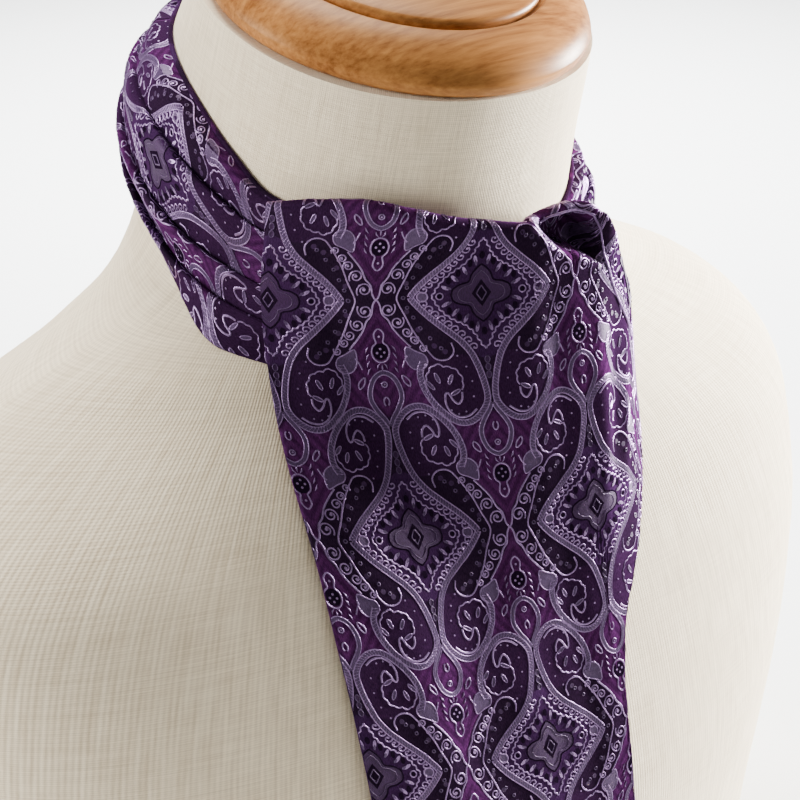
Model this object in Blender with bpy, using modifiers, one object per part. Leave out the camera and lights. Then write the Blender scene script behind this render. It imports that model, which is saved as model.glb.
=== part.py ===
"""Silk day cravat tied round the neck of a limbless linen dress form with a turned wooden cap.

Metres, +Z up. The form faces -Y and stands on its flat underside, with the origin at the
centre of that footprint. Sizes are in millimetres, read as (side, forward, below): side to
the wearer's left, forward of the neck's top and below it. place() turns them to metres.
"""

from math import cos, pi, radians, sin, tan

import bmesh
import bpy
import numpy as np

# ---- driving dimensions (millimetres and degrees) ----
CAP_LEVEL = 390.0       # middle of the neck's top above the table
CAP_AHEAD = 9.06        # middle of the neck's top ahead of the origin
NECK_LEAN = 16.3        # the neck leans forward, and its top is cut square to it
SEAT = 0.3              # clearance between pieces that touch
SILK = 1.2              # folded silk with its interlining
BLADE_HALF = 75.0       # half the width of the front blade
BLADE_LEFT = -72.5      # its left edge from the woven pattern's middle line
BLADE_RIGHT = 77.5
BLADE_TIP = 325.0       # its point, below the neck's top
BLADE_POINT = 62.0      # how far the point reaches below the blade's two corners
ARCH_SET = 8.0          # the arch over the hollow is set back behind the blade's face
HOLLOW_DEPTH = 9.0      # the hollow beneath the arch is pressed in this much further
EDGE_LIFT = 2.2         # the blade's left edge stands off the band that it covers
EDGE_FROM = 50.0        # where that starts, across from the pattern's middle line
EDGE_RUN = 16.0         # and over how much cloth it comes in
EDGE_ENDS = 100.0       # it is gone this far below the neck's top
EDGE_FADE = 30.0
HOLLOW_SUNK = 3.4       # the hollow may come this much closer to the form
LIP_ROUND = 4.0         # softness of the hollow's edges
CLEAR_ROUND = 2.0       # softness where cloth comes to lie on what is under it
POINT_ROUND = 0.06      # bluntness of a blade's point
UNDER_LEFT = -66.0      # the second blade's edges, beneath the front one
UNDER_RIGHT = 29.0
UNDER_TOP = 98.0
UNDER_TIP = 298.0
UNDER_POINT = 40.0
UNDER_SET = 3.5         # the second blade's face behind the front blade's face
BAND_MIDDLE = 39.0      # top edge of the neckband below the neck's top, at the sides
BAND_DIP = 28.0         # the top edge is this much lower in front and higher behind
BAND_HEIGHT = 50.0
BAND_CLEAR = 0.5        # the band's edges off the linen
CROSS_TOP = 76.0        # where the two ends cross under the blade
CROSS_HEIGHT = 34.0
CROSS_RIGHT = 48.0      # its reach round the neck, in degrees each way
CROSS_LEFT = 10.0
CROSS_GRID = (6, 11)    # rows and columns
UNDER_GRID = (18, 21)
BLADE_ROWS = 27
ROW_STEP = 3.0          # spacing of the front blade's rows near its fold, and their number
NEAR_ROWS = 9
ROW_SPREAD = 1.15       # the rows below spread out towards the point
FLAT_STEP = 6.5         # spacing of the front blade's columns where it is plain
FLAT_ENDS = 12.0
HOLLOW_LINES = (15.0, 63.0, 13)
ROLL_TURNS = (180, 140, 100, 60, 25)    # rows round the rolled fold, in degrees from its front
FORM_ROUND = 40         # points round the form
MM = 0.001

# The form as level sections: depth below the neck's top, how far its middle lies behind,
# half width, reach forward, reach back, squareness (2 is an ellipse).
FORM = dict(
    columns=("below", "middle", "half_width", "front", "back", "square"),
    rows=(
        (-26, -7.5, 65.5, 65.5, 69.0, 2.00),
        (-6, -1.5, 66.5, 65.8, 76.0, 2.05),
        (10, 3.0, 67.5, 66.5, 82.5, 2.08),
        (25, 7.3, 68.6, 67.3, 85.5, 2.08),
        (42, 12.3, 69.6, 68.6, 86.5, 2.06),
        (60, 17.5, 71.5, 70.8, 87.0, 2.03),
        (78, 22.8, 76.0, 73.0, 88.0, 1.95),
        (88, 25.0, 83.0, 74.0, 90.0, 1.80),
        (96, 26.5, 96.0, 75.5, 92.0, 1.58),
        (106, 28.0, 120.0, 77.5, 93.5, 1.42),
        (116, 29.0, 144.0, 80.0, 95.0, 1.42),
        (126, 29.5, 166.0, 83.0, 96.0, 1.55),
        (136, 30.0, 183.0, 87.0, 97.0, 1.75),
        (146, 30.0, 195.0, 91.0, 97.5, 1.98),
        (160, 30.0, 204.0, 97.0, 98.0, 2.25),
        (180, 30.0, 208.0, 104.0, 98.5, 2.45),
        (212, 30.0, 208.0, 114.0, 98.0, 2.50),
        (245, 29.0, 201.0, 121.0, 95.0, 2.50),
        (285, 27.0, 189.0, 125.0, 91.0, 2.45),
        (335, 25.0, 176.0, 123.0, 87.0, 2.40),
        (384, 24.0, 168.0, 118.0, 84.0, 2.40),
        (390, 24.0, 165.0, 115.0, 81.0, 2.40),
    ),
)
FORM_RINGS = (0, 10, 22, 36, 50, 64, 76, 86, 93, 100, 108, 117, 127, 138, 150, 166, 188, 214,
              245, 285, 335, 384, 390)
TILT = ((0, 40, 130), (1.0, 0.9, 0.0))  # rings tilt with the neck, and are level from 130 down

# The front blade as level sections: depth below the neck's top, side and forward place of
# its middle line, and the way it faces (degrees, negative to the wearer's right) at the
# left edge, halfway, middle, halfway and right edge.
BLADE = dict(
    columns=("below", "side", "forward", "left", "half_left", "mid", "half_right", "right"),
    rows=(
        (40, -14, 57.0, -84, -56, -29, -8, 26),
        (58, -14, 58.5, -82, -55, -28, -6, 30),
        (82, -15, 60.0, -78, -53, -27, -3, 38),
        (106, -15, 64.0, -74, -49, -26, -2, 42),
        (130, -15, 69.0, -46, -38, -24, -1, 43),
        (165, -15, 76.5, -18, -22, -20, 0, 42),
        (200, -14, 84.5, -10, -14, -15, 1, 36),
        (250, -12, 98.0, -6, -8, -9, 1, 24),
        (325, -9, 110.0, -4, -4, -4, 2, 14),
    ),
)
BLADE_STATIONS = (-BLADE_HALF, -BLADE_HALF / 2, 0.0, BLADE_HALF / 2, BLADE_HALF)

# Least distance of the front blade's face from the form, and of the second blade's face.
CLEAR = dict(
    columns=("below", "front_blade", "under_blade"),
    rows=((40, 7.6, 4.0), (90, 7.6, 4.0), (112, 6.8, 3.8), (140, 4.4, 1.8), (330, 4.4, 1.8)),
)

# The line where the blade turns over, its roll's radius, and the cloth that runs down again
# behind the roll.
FOLD = dict(
    columns=("across", "below", "radius", "behind"),
    rows=(
        (-75, 50.0, 2.0, 0.6), (-60, 48.0, 2.4, 3.0), (-42, 47.5, 3.0, 9.0),
        (-25, 51.0, 3.0, 9.0), (-10, 55.5, 3.0, 9.0), (5, 59.0, 3.0, 8.0),
        (18, 61.0, 2.8, 4.0), (27, 60.0, 2.4, 1.0), (38, 59.0, 2.2, 0.6),
        (45, 60.0, 2.2, 0.6), (50, 62.8, 2.2, 0.6), (54, 67.3, 2.2, 0.6),
        (58, 73.5, 2.2, 0.6), (62, 80.5, 2.2, 0.6), (66, 87.0, 2.2, 1.5),
        (72, 93.5, 2.2, 3.0), (78, 98.5, 2.2, 4.0),
    ),
)

# Where the blade's right side is folded back under itself, down to its point.
UNDERFOLD = dict(
    columns=("across", "below"),
    rows=((33, 330), (34.5, 275), (36, 240), (39, 221), (42, 209), (51, 192), (58, 181), (68, 165),
          (78, 148)),
)

# The hollow under the arch: its upper edge and the lip below it, how much of the set back
# and how much of the hollow there is.
HOLLOW = dict(
    columns=("across", "upper", "lip", "set_back", "hollow"),
    rows=(
        (12, 63.5, 61.5, 0.0, 0.0), (20, 63.5, 64.5, 0.5, 0.0), (26, 64.0, 69.0, 1.0, 0.5),
        (31, 64.0, 72.5, 1.0, 1.0), (36, 64.0, 74.0, 1.0, 1.0), (42, 64.5, 76.0, 1.0, 1.0),
        (48, 66.5, 79.0, 0.85, 1.0), (51, 69.0, 80.5, 0.6, 1.0), (54, 75.0, 82.0, 0.3, 0.4),
        (57, 82.0, 84.0, 0.1, 0.0), (60, 88.0, 88.0, 0.0, 0.0), (72, 96.0, 96.0, 0.0, 0.0),
    ),
)

# The neckband's pleats, read round the neck from the front over the wearer's right: angle,
# the folds of the second to fourth pleat below the top edge, how far the band puffs out,
# how far each pleat's fold stands out, and how much lower the top edge lies.
PLEATS = dict(
    columns=("round", "second", "third", "fourth", "puff", "depth", "drop"),
    rows=(
        (50, 10.0, 28.0, 38.0, 0.4, 0.9, 0.0),
        (66, 11.0, 28.0, 38.0, 0.4, 1.0, 0.0),
        (80, 12.0, 31.0, 41.0, 3.8, 2.8, -4.5),
        (100, 12.5, 33.0, 43.0, 8.0, 3.4, -8.5),
        (140, 12.0, 29.0, 40.0, 9.5, 3.2, -9.0),
        (180, 10.5, 25.0, 37.0, 6.0, 3.0, -6.0),
        (220, 12.5, 26.5, 37.5, 5.0, 3.0, 0.0),
        (260, 11.0, 24.0, 37.0, 6.0, 3.0, 5.0),
        (290, 11.0, 26.0, 38.0, 9.5, 3.0, 6.0),
        (305, 9.0, 24.0, 37.0, 9.5, 2.2, 4.0),
        (316, 9.0, 24.0, 37.0, 6.5, 1.5, 4.0),
        (326, 12.0, 25.0, 36.0, 0.4, 0.9, 5.0),
        (350, 12.0, 25.0, 36.0, 0.0, 0.5, 6.0),
    ),
)
PLEAT_SHAPE = ((0.0, 0.75), (0.1, 1.0), (0.5, 0.55), (0.93, 0.08))  # share down, share of depth
TOP_DEPTH = 0.05        # the band's top edge hugs the neck
PUFF_ROUND = 0.6
BANDS = (("neckband_right", 56.0, 139.9, 13), ("neckband_back", 140.1, 219.9, 12),
         ("neckband_left", 220.1, 346.0, 18))

# Half the outline of the wooden cap: distance from its axis, height over the neck.
CAP_PROFILE = (
    (0.0, 20.5), (14.0, 20.3), (30.0, 19.6), (41.0, 18.3), (44.8, 17.3), (45.8, 16.2),
    (46.0, 14.0), (47.3, 14.0), (47.8, 15.6), (54.0, 13.7), (60.0, 10.9), (63.6, 7.8),
    (65.2, 4.6), (64.9, 1.8), (63.4, 0.0), (0.0, 0.0),
)


def smooth(x, y, key):
    """Reads y over x at key along a smooth curve that doesn't overshoot."""
    x, y = np.asarray(x, float), np.asarray(y, float)
    slope = np.diff(y) / np.diff(x)
    lean = np.concatenate(([slope[0]], (slope[1:] + slope[:-1]) / 2, [slope[-1]]))
    turns = np.concatenate(([False], slope[1:] * slope[:-1] <= 0, [False]))
    lean[turns] = 0.0
    key = np.clip(key, x[0], x[-1])
    i = np.clip(np.searchsorted(x, key) - 1, 0, len(x) - 2)
    step = x[i + 1] - x[i]
    t = (key - x[i]) / step
    start = (1 + 2 * t) * (1 - t) ** 2 * y[i] + t * (1 - t) ** 2 * step * lean[i]
    return start + t * t * (3 - 2 * t) * y[i + 1] + t * t * (t - 1) * step * lean[i + 1]


def read(table, column, key):
    """Reads one named column of a table at key, its first column."""
    rows = np.array(table["rows"], float)
    return smooth(rows[:, 0], rows[:, table["columns"].index(column)], key)


def form_reach(side, forward, below):
    """The form's surface from its middle line, in the direction of (side, forward)."""
    size = np.hypot(side, forward)
    power = read(FORM, "square", below)
    deep = np.where(forward > 0, read(FORM, "front", below), read(FORM, "back", below))
    wide = read(FORM, "half_width", below)
    return (np.abs(side / size / wide) ** power + np.abs(forward / size / deep) ** power) ** (-1 / power)


def on_form(angle, below, out):
    """A point out from the form's surface; angle in radians from straight ahead."""
    away = form_reach(np.sin(angle), np.cos(angle), below) + out
    middle = read(FORM, "middle", below)
    return np.array([away * np.sin(angle), away * np.cos(angle) - middle, below])


def push_clear(side, forward, below, gap):
    """Moves points out from the form's middle line to at least gap off its surface, softly."""
    middle = read(FORM, "middle", below)
    ahead = forward + middle
    least = form_reach(side, ahead, below) + gap
    far = np.hypot(side, ahead)
    want = (far + least + np.hypot(far - least, CLEAR_ROUND)) / 2
    return side * want / far, ahead * want / far - middle


def ease(share):
    """0 up to 0 and 1 from 1, with a soft step between."""
    share = np.clip(share, 0.0, 1.0)
    return share * share * (3 - 2 * share)


def blade_slice(below, clear, inward=0.0):
    """The blade's level section: places across the cloth, side, forward and facing."""
    q = np.arange(-BLADE_HALF - 25.0, BLADE_HALF + 65.0, 1.0)
    face = [read(BLADE, c, below) for c in ("left", "half_left", "mid", "half_right", "right")]
    facing = np.radians(smooth(BLADE_STATIONS, face, q))
    middle = int(np.argmin(np.abs(q)))
    side = np.cumsum(np.cos(facing))
    forward = -np.cumsum(np.sin(facing))
    side += read(BLADE, "side", below) - side[middle]
    forward += read(BLADE, "forward", below) - forward[middle]
    side, forward = side - inward * np.sin(facing), forward - inward * np.cos(facing)
    gap = read(CLEAR, clear, below)
    gap += EDGE_LIFT * ease((-q - EDGE_FROM) / EDGE_RUN) * ease((EDGE_ENDS - below) / EDGE_FADE)
    flat_side, flat_forward = push_clear(side, forward, below, gap)
    run = np.concatenate(([0.0], np.cumsum(np.hypot(np.diff(flat_side), np.diff(flat_forward)))))
    run -= run[middle]
    lip, upper = read(HOLLOW, "lip", q), read(HOLLOW, "upper", q)
    above_lip = ease((lip - below + 1.0) / LIP_ROUND)
    pressed = read(HOLLOW, "hollow", q) * above_lip
    out = -ARCH_SET * read(HOLLOW, "set_back", q) * above_lip
    out -= HOLLOW_DEPTH * pressed * ease((below - upper) / LIP_ROUND)
    side, forward = side + out * np.sin(facing), forward + out * np.cos(facing)
    side, forward = push_clear(side, forward, below, gap - HOLLOW_SUNK * pressed)
    facing = np.arctan2(-np.gradient(forward), np.gradient(side))
    return run, side, forward, facing


def blade_point(across, below, clear="front_blade", inward=0.0):
    """Place and level facing of the blade's cloth at (across, below)."""
    run, side, forward, facing = blade_slice(below, clear, inward)
    return (np.interp(across, run, side), np.interp(across, run, forward), below,
            np.interp(across, run, facing))


def tip_line(across, left, right, tip, point):
    """Lower edge, between a left and a right side, of a blade that ends in a blunt point."""
    share = (2 * across - left - right) / (right - left)
    return tip - point * (np.hypot(share, POINT_ROUND) - POINT_ROUND)


def blade_lines():
    """Places of the lines down the front blade, closer together at the hollow."""
    plain = np.arange(BLADE_LEFT, FLAT_ENDS, FLAT_STEP)
    first, last, count = HOLLOW_LINES
    edge = ((last + BLADE_RIGHT) / 2, BLADE_RIGHT)
    return np.concatenate((plain, np.linspace(first, last, count), edge))


def place(point):
    """(side, forward, below) in millimetres to metres in the world."""
    side, forward, below = point
    return (side * MM, (-forward - CAP_AHEAD) * MM, (CAP_LEVEL - below) * MM)


# ---- meshes, materials and objects ----
def paint(name, colour, roughness, sheen=0.0):
    """A Principled material."""
    material = bpy.data.materials.new(name)
    material.use_nodes = True
    shader = material.node_tree.nodes["Principled BSDF"]
    shader.inputs["Base Color"].default_value = (*colour, 1.0)
    shader.inputs["Roughness"].default_value = roughness
    shader.inputs["Metallic"].default_value = 0.0
    shader.inputs["Sheen Weight"].default_value = sheen
    return material


def new_object(name, mesh, material):
    """An object of this mesh in the part's collection."""
    ob = bpy.data.objects.new(name, mesh)
    ob.data.materials.append(material)
    part.objects.link(ob)
    return ob


def grid_mesh(name, rows, around=False):
    """A mesh lofted through rows of points, all rows alike in length."""
    shape = bmesh.new()
    lines = [[shape.verts.new(place(p)) for p in row] for row in rows]
    for upper, lower in zip(lines, lines[1:]):
        count = len(upper)
        for i in range(count if around else count - 1):
            j = (i + 1) % count
            shape.faces.new((upper[i], lower[i], lower[j], upper[j]))
    if around:
        shape.faces.new(lines[0])
        shape.faces.new(reversed(lines[-1]))
    mesh = bpy.data.meshes.new(name)
    shape.to_mesh(mesh)
    shape.free()
    mesh.shade_smooth()
    return mesh


def cloth(name, rows, material):
    """A wall of silk whose face runs through rows, its thickness towards the form."""
    ob = new_object(name, grid_mesh(name, rows), material)
    wall = ob.modifiers.new("Silk", "SOLIDIFY")
    wall.thickness = SILK * MM
    wall.offset = -1.0
    return ob


def build_form(material):
    """Neck, shoulders and chest in one smooth solid, flat underneath."""
    lean = tan(radians(NECK_LEAN))
    angles = np.linspace(0, 2 * pi, FORM_ROUND, endpoint=False)
    rows = []
    for ring in FORM_RINGS:
        tilt = lean * smooth(*TILT, ring)
        row = []
        for angle in angles:
            below = ring
            for _ in range(6):
                below = ring + tilt * on_form(angle, below, 0.0)[1]
            row.append(on_form(angle, below, 0.0))
        rows.append(row)
    return new_object("form_body", grid_mesh("form_body", rows, around=True), material)


def build_cap(material):
    """The turned wooden cap, square to the leaning neck, a seat's clearance above it."""
    mesh = bpy.data.meshes.new("neck_cap")
    mesh.from_pydata([(r * MM, 0.0, (h + SEAT) * MM) for r, h in CAP_PROFILE],
                     [(i, i + 1) for i in range(len(CAP_PROFILE) - 1)], [])
    ob = new_object("neck_cap", mesh, material)
    ob.location = place((0.0, 0.0, 0.0))
    ob.rotation_euler.x = radians(NECK_LEAN)
    turn = ob.modifiers.new("Turning", "SCREW")
    turn.angle = 2 * pi
    turn.steps = turn.render_steps = 48
    turn.use_merge_vertices = True
    turn.merge_threshold = 0.00001
    turn.use_normal_flip = False
    return ob


def band_rows(start, end, columns):
    """The pleated neckband from one angle to another, row by row down its height."""
    turns = np.linspace(start, end, columns)
    rows = []
    for pleat in range(4):
        for share, lift in PLEAT_SHAPE:
            row = []
            for turn in turns:
                folds = [0.0] + [float(read(PLEATS, c, turn)) for c in ("second", "third", "fourth")]
                folds.append(BAND_HEIGHT)
                down = folds[pleat] + share * (folds[pleat + 1] - folds[pleat])
                row.append(band_point(turn, down, lift))
            rows.append(row)
    rows.append([band_point(turn, BAND_HEIGHT, 0.0) for turn in turns])
    return rows


def band_point(turn, down, lift):
    """A point of the band's face, down from its top edge, with its pleat's share of lift."""
    below = BAND_MIDDLE + BAND_DIP * cos(radians(turn)) + down
    below += float(read(PLEATS, "drop", turn))
    puff = float(read(PLEATS, "puff", turn)) * sin(pi * min(1.0, down / BAND_HEIGHT)) ** PUFF_ROUND
    depth = float(read(PLEATS, "depth", turn)) * (TOP_DEPTH if down == 0.0 else 1.0)
    return on_form(-radians(turn), below, BAND_CLEAR + SILK + puff + depth * lift)


def build_blade(material):
    """The front blade: up behind, over the rolled fold and down to its point."""
    lines = blade_lines()
    rows = [[roll_point(a, pi, share) for a in lines] for share in (1.0, 0.5)]
    rows += [[roll_point(a, radians(turn), 0.0) for a in lines] for turn in ROLL_TURNS]
    for step in range(BLADE_ROWS):
        row = []
        for a in lines:
            top = float(read(FOLD, "below", a) + read(FOLD, "radius", a))
            end = tip_line(a, BLADE_LEFT, BLADE_RIGHT, BLADE_TIP, BLADE_POINT)
            end = min(end, float(read(UNDERFOLD, "below", a)))
            near = ROW_STEP * min(step, NEAR_ROWS)
            far = max(step - NEAR_ROWS, 0) / (BLADE_ROWS - 1 - NEAR_ROWS)
            below = top + near + (end - top - ROW_STEP * NEAR_ROWS) * far ** ROW_SPREAD
            row.append(blade_point(a, below)[:3])
        rows.append(row)
    return cloth("blade_front", rows, material)


def roll_point(across, turn, behind):
    """A point of the rolled fold; turn is 0 at the front face and pi behind it."""
    radius = float(read(FOLD, "radius", across))
    level = float(read(FOLD, "below", across)) + radius
    drop = behind * float(read(FOLD, "behind", across))
    side, forward, _, facing = blade_point(across, level)
    inward = radius * (1 - cos(turn))
    return (side - inward * sin(facing), forward - inward * cos(facing),
            level + drop - radius * sin(turn))


def build_under(material):
    """The second blade, beneath the front one and a little shorter."""
    across = np.linspace(UNDER_LEFT, UNDER_RIGHT, UNDER_GRID[1])
    rows = []
    for share in np.linspace(0.0, 1.0, UNDER_GRID[0]):
        row = []
        for a in across:
            end = tip_line(a, UNDER_LEFT, UNDER_RIGHT, UNDER_TIP, UNDER_POINT)
            below = UNDER_TOP + share * (end - UNDER_TOP)
            row.append(blade_point(a, below, "under_blade", UNDER_SET)[:3])
        rows.append(row)
    return cloth("blade_under", rows, material)


def build_crossing(material):
    """The flat stretch where the two ends cross, hidden under the blade."""
    rows = []
    turns = np.radians(np.linspace(-CROSS_RIGHT, CROSS_LEFT, CROSS_GRID[1]))
    for share in np.linspace(0.0, 1.0, CROSS_GRID[0]):
        below = CROSS_TOP + share * CROSS_HEIGHT
        rows.append([on_form(turn, below, BAND_CLEAR + SILK) for turn in turns])
    return cloth("crossing", rows, material)


for old in list(bpy.data.objects):
    bpy.data.objects.remove(old, do_unlink=True)
part = bpy.data.collections.new("silk_cravat_on_dress_form")
bpy.context.scene.collection.children.link(part)

linen = paint("linen", (0.62, 0.55, 0.45), 0.9)
wood = paint("turned_wood", (0.45, 0.22, 0.08), 0.3)
silk = paint("silk", (0.10, 0.03, 0.13), 0.4, 0.4)
build_form(linen)
build_cap(wood)
for band, band_start, band_end, band_columns in BANDS:
    cloth(band, band_rows(band_start, band_end, band_columns), silk)
build_crossing(silk)
build_under(silk)
build_blade(silk)
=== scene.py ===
"""Silk day cravat tied round the neck of a linen dress form with a turned wooden neck cap.

Metres, +Z up; the form faces -Y and stands on its flat underside. Cloth sizes are in
millimetres, read as (side, forward, below): side to the wearer's left, forward of the neck's
top and below it. place() turns them to metres. The weave's own millimetres are s, across
the cloth, and t, along it.
"""

from math import cos, pi, radians, sin, tan

import bmesh
import bpy
import numpy as np
from mathutils import Matrix, Vector


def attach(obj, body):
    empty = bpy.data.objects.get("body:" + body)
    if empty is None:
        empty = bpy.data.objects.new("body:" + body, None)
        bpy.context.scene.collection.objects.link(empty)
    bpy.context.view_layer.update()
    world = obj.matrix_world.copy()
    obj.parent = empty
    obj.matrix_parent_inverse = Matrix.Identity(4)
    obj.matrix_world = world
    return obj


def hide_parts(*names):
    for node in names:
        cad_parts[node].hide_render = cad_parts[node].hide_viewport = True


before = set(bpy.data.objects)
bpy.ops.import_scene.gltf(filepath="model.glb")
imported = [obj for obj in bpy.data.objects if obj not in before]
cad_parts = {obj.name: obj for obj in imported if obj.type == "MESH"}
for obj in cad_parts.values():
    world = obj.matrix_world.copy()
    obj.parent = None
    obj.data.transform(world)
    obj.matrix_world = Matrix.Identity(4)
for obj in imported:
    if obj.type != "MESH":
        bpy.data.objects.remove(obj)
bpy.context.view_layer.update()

# ---- Camera, floor and studio light ----
# A camera a little above the collar, turned to the wearer's right. The floor is a plain pale
# sweep. Three soft lamps stand round it, the key at the wearer's left, and a fourth hangs
# over the far floor.
CAMERA_PLACE = (-0.42746, -0.51953, 0.54124)
CAMERA_WAY = (-40, 24)      # azimuth and elevation that it looks from
CAMERA_LENS = 90.0
CAMERA_SENSOR = 36.0
FLOOR_HALF = 9.0
FLOOR_COLOUR = (0.84, 0.85, 0.85)
FLOOR_SHADE = 0.985
BACKGROUND = (0.86, 0.87, 0.87, 1.0)
SKY_LIGHT = 0.42
AIM = Vector((0.0, -0.06, 0.33))
LAMPS = (  # name, place from the aim as azimuth, elevation and distance; size, spread, power
    ("key", 80.0, 3.0, 1.4, 0.5, 60.0, 21.0),
    ("fill", -116.0, 14.0, 1.5, 0.9, 70.0, 7.0),
    ("top", 150.0, 68.0, 1.5, 0.8, 60.0, 3.0),
)
BACKDROP_PLACE = (0.74, 0.82, 1.35)
BACKDROP_LIGHT = (1.6, 80, 67)      # size, spread, power


def sight(azimuth, elevation):
    """The unit vector out from the form towards this azimuth and elevation, in degrees."""
    azimuth, elevation = radians(azimuth), radians(elevation)
    return Vector((sin(azimuth) * cos(elevation), -cos(azimuth) * cos(elevation), sin(elevation)))


def stand(name, data, at, way=None):
    """Puts a camera or a lamp at a place, with its back to this way or else facing down."""
    stood = bpy.data.objects.new(name, data)
    stood.location = at
    if way is not None:
        stood.rotation_euler = way.to_track_quat("Z", "Y").to_euler()
    bpy.context.scene.collection.objects.link(stood)
    return stood


def soft_lamp(name, size, spread, power):
    """A round soft lamp."""
    lamp = bpy.data.lights.new(name, "AREA")
    lamp.shape = "DISK"
    lamp.size = size
    lamp.spread = radians(spread)
    lamp.energy = power
    return lamp


camera = stand("camera", bpy.data.cameras.new("camera"), CAMERA_PLACE, sight(*CAMERA_WAY))
camera.data.lens = CAMERA_LENS
camera.data.sensor_width = CAMERA_SENSOR
bpy.context.scene.camera = camera
for lamp_name, azimuth, elevation, distance, *light in LAMPS:
    way = sight(azimuth, elevation)
    stand(lamp_name, soft_lamp(lamp_name, *light), AIM + way * distance, way)
stand("backdrop", soft_lamp("backdrop", *BACKDROP_LIGHT), BACKDROP_PLACE)

world = bpy.data.worlds.new("studio")
world.use_nodes = True
sky = world.node_tree.nodes["Background"].inputs
sky["Color"].default_value = BACKGROUND
sky["Strength"].default_value = SKY_LIGHT
bpy.context.scene.world = world


class Nodes:
    """A node tree filled by short calls, which give back the outputs of what they add."""

    def __init__(self, tree):
        self.tree = tree

    def feed(self, socket, value):
        """Gives a socket a value or another node's output."""
        if isinstance(value, bpy.types.NodeSocket):
            self.tree.links.new(value, socket)
        else:
            socket.default_value = value

    def add(self, kind, inputs=None, **settings):
        """Adds a node with these settings and inputs."""
        made = self.tree.nodes.new(kind)
        for key, value in settings.items():
            setattr(made, key, value)
        for key, value in (inputs or {}).items():
            self.feed(made.inputs[key], value)
        return made

    def maths(self, operation, *values):
        """One step of arithmetic."""
        return self.add("ShaderNodeMath", dict(enumerate(values)), operation=operation).outputs[0]

    def total(self, start, *shares):
        """A start value with each (value, weight) added to it."""
        for value, weight in shares:
            start = self.maths("MULTIPLY_ADD", value, weight, start)
        return start

    def outside(self, mask):
        """1 where the mask is 0, and 0 where it is 1."""
        return self.maths("SUBTRACT", 1.0, mask)

    def pick(self, mask, first, second, kind="FLOAT"):
        """The first where the mask is 0 and the second where it is 1, numbers or colours."""
        mix = self.add("ShaderNodeMix", {"Factor": mask, "A": first, "B": second}, data_type=kind)
        return mix.outputs["Result"]

    def noise(self, place, scale, detail, stretch=None, turn=0.0, roughness=0.5):
        """Uneven shade from 0 to 1, on a map that may be stretched and turned, in degrees."""
        inputs = {"Scale": scale, "Detail": detail, "Roughness": roughness}
        if stretch:
            pulled = {"Vector": place, "Scale": stretch, "Rotation": (0.0, 0.0, radians(turn))}
            place = self.add("ShaderNodeMapping", pulled).outputs[0]
        if place is not None:
            inputs["Vector"] = place
        return self.add("ShaderNodeTexNoise", inputs).outputs["Fac"]

    def ramp(self, value, *stops):
        """A colour between two, each given with the value where it is reached."""
        made = self.add("ShaderNodeValToRGB", {"Fac": value})
        for stop, (place, colour) in zip(made.color_ramp.elements, stops):
            stop.position = place
            stop.color = (*colour, 1.0)
        return made.outputs["Color"]

    def bump(self, strength, distance, height):
        """The normals of a fine relief."""
        inputs = {"Strength": strength, "Distance": distance, "Height": height}
        return self.add("ShaderNodeBump", inputs).outputs[0]


def finish_of(name, roughness, **constants):
    """A Principled material with these plain values; returns it with its nodes and shader."""
    material = bpy.data.materials.new(name)
    material.use_nodes = True
    shader = material.node_tree.nodes["Principled BSDF"]
    shader.inputs["Roughness"].default_value = roughness
    for key, value in constants.items():
        shader.inputs[key.replace("_", " ")].default_value = value
    return material, Nodes(material.node_tree), shader


def mesh_of(name, shape, sharp=None):
    """A bmesh made a smooth mesh, with edges past the angle sharp, in degrees, left crisp."""
    mesh = bpy.data.meshes.new(name)
    shape.to_mesh(mesh)
    shape.free()
    mesh.shade_smooth()
    if sharp:
        mesh.set_sharp_from_angle(angle=radians(sharp))
    return mesh


paper, paper_nodes, paper_shader = finish_of("studio_paper", 0.8)
paper_tones = [(*[share * c for c in FLOOR_COLOUR], 1.0) for share in (1.0, FLOOR_SHADE)]
paper_tone = paper_nodes.pick(paper_nodes.noise(None, 3.0, 2.0), *paper_tones, "RGBA")
paper_nodes.feed(paper_shader.inputs["Base Color"], paper_tone)
shape = bmesh.new()
bmesh.ops.create_circle(shape, cap_ends=True, segments=64, radius=FLOOR_HALF)
floor = bpy.data.objects.new("floor", mesh_of("floor", shape))
floor.data.materials.append(paper)
bpy.context.scene.collection.objects.link(floor)

# ---- Body of the form: neck, shoulders and chest ----
# A padded papier-mache shell covered in beige linen, its warp running down the neck. It is
# cut off level below the chest, where it stands, and square to the leaning neck on top.
MM = 0.001
CAP_LEVEL = 390.0       # middle of the neck's top above the table
CAP_AHEAD = 9.06        # and ahead of the origin
NECK_LEAN = radians(16.3)
FORM = dict(
    columns=("below", "middle", "half_width", "front", "back", "square"),
    rows=(
        (-26, -7.5, 65.5, 65.5, 69, 2.00), (-6, -1.5, 66.5, 65.8, 76, 2.05),
        (10, 3, 67.5, 66.5, 82.5, 2.08), (25, 7.3, 68.6, 67.3, 85.5, 2.08),
        (42, 12.3, 69.6, 68.6, 86.5, 2.06), (60, 17.5, 71.5, 70.8, 87, 2.03),
        (78, 22.8, 76, 73, 88, 1.95), (88, 25, 83, 74, 90, 1.80),
        (96, 26.5, 96, 75.5, 92, 1.58), (106, 28, 120, 77.5, 93.5, 1.42),
        (116, 29, 144, 80, 95, 1.42), (126, 29.5, 166, 83, 96, 1.55),
        (136, 30, 183, 87, 97, 1.75), (146, 30, 195, 91, 97.5, 1.98),
        (160, 30, 204, 97, 98, 2.25), (180, 30, 208, 104, 98.5, 2.45),
        (212, 30, 208, 114, 98, 2.50), (245, 29, 201, 121, 95, 2.50),
        (285, 27, 189, 125, 91, 2.45), (335, 25, 176, 123, 87, 2.40),
        (384, 24, 168, 118, 84, 2.40), (390, 24, 165, 115, 81, 2.40),
    ),
)
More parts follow.
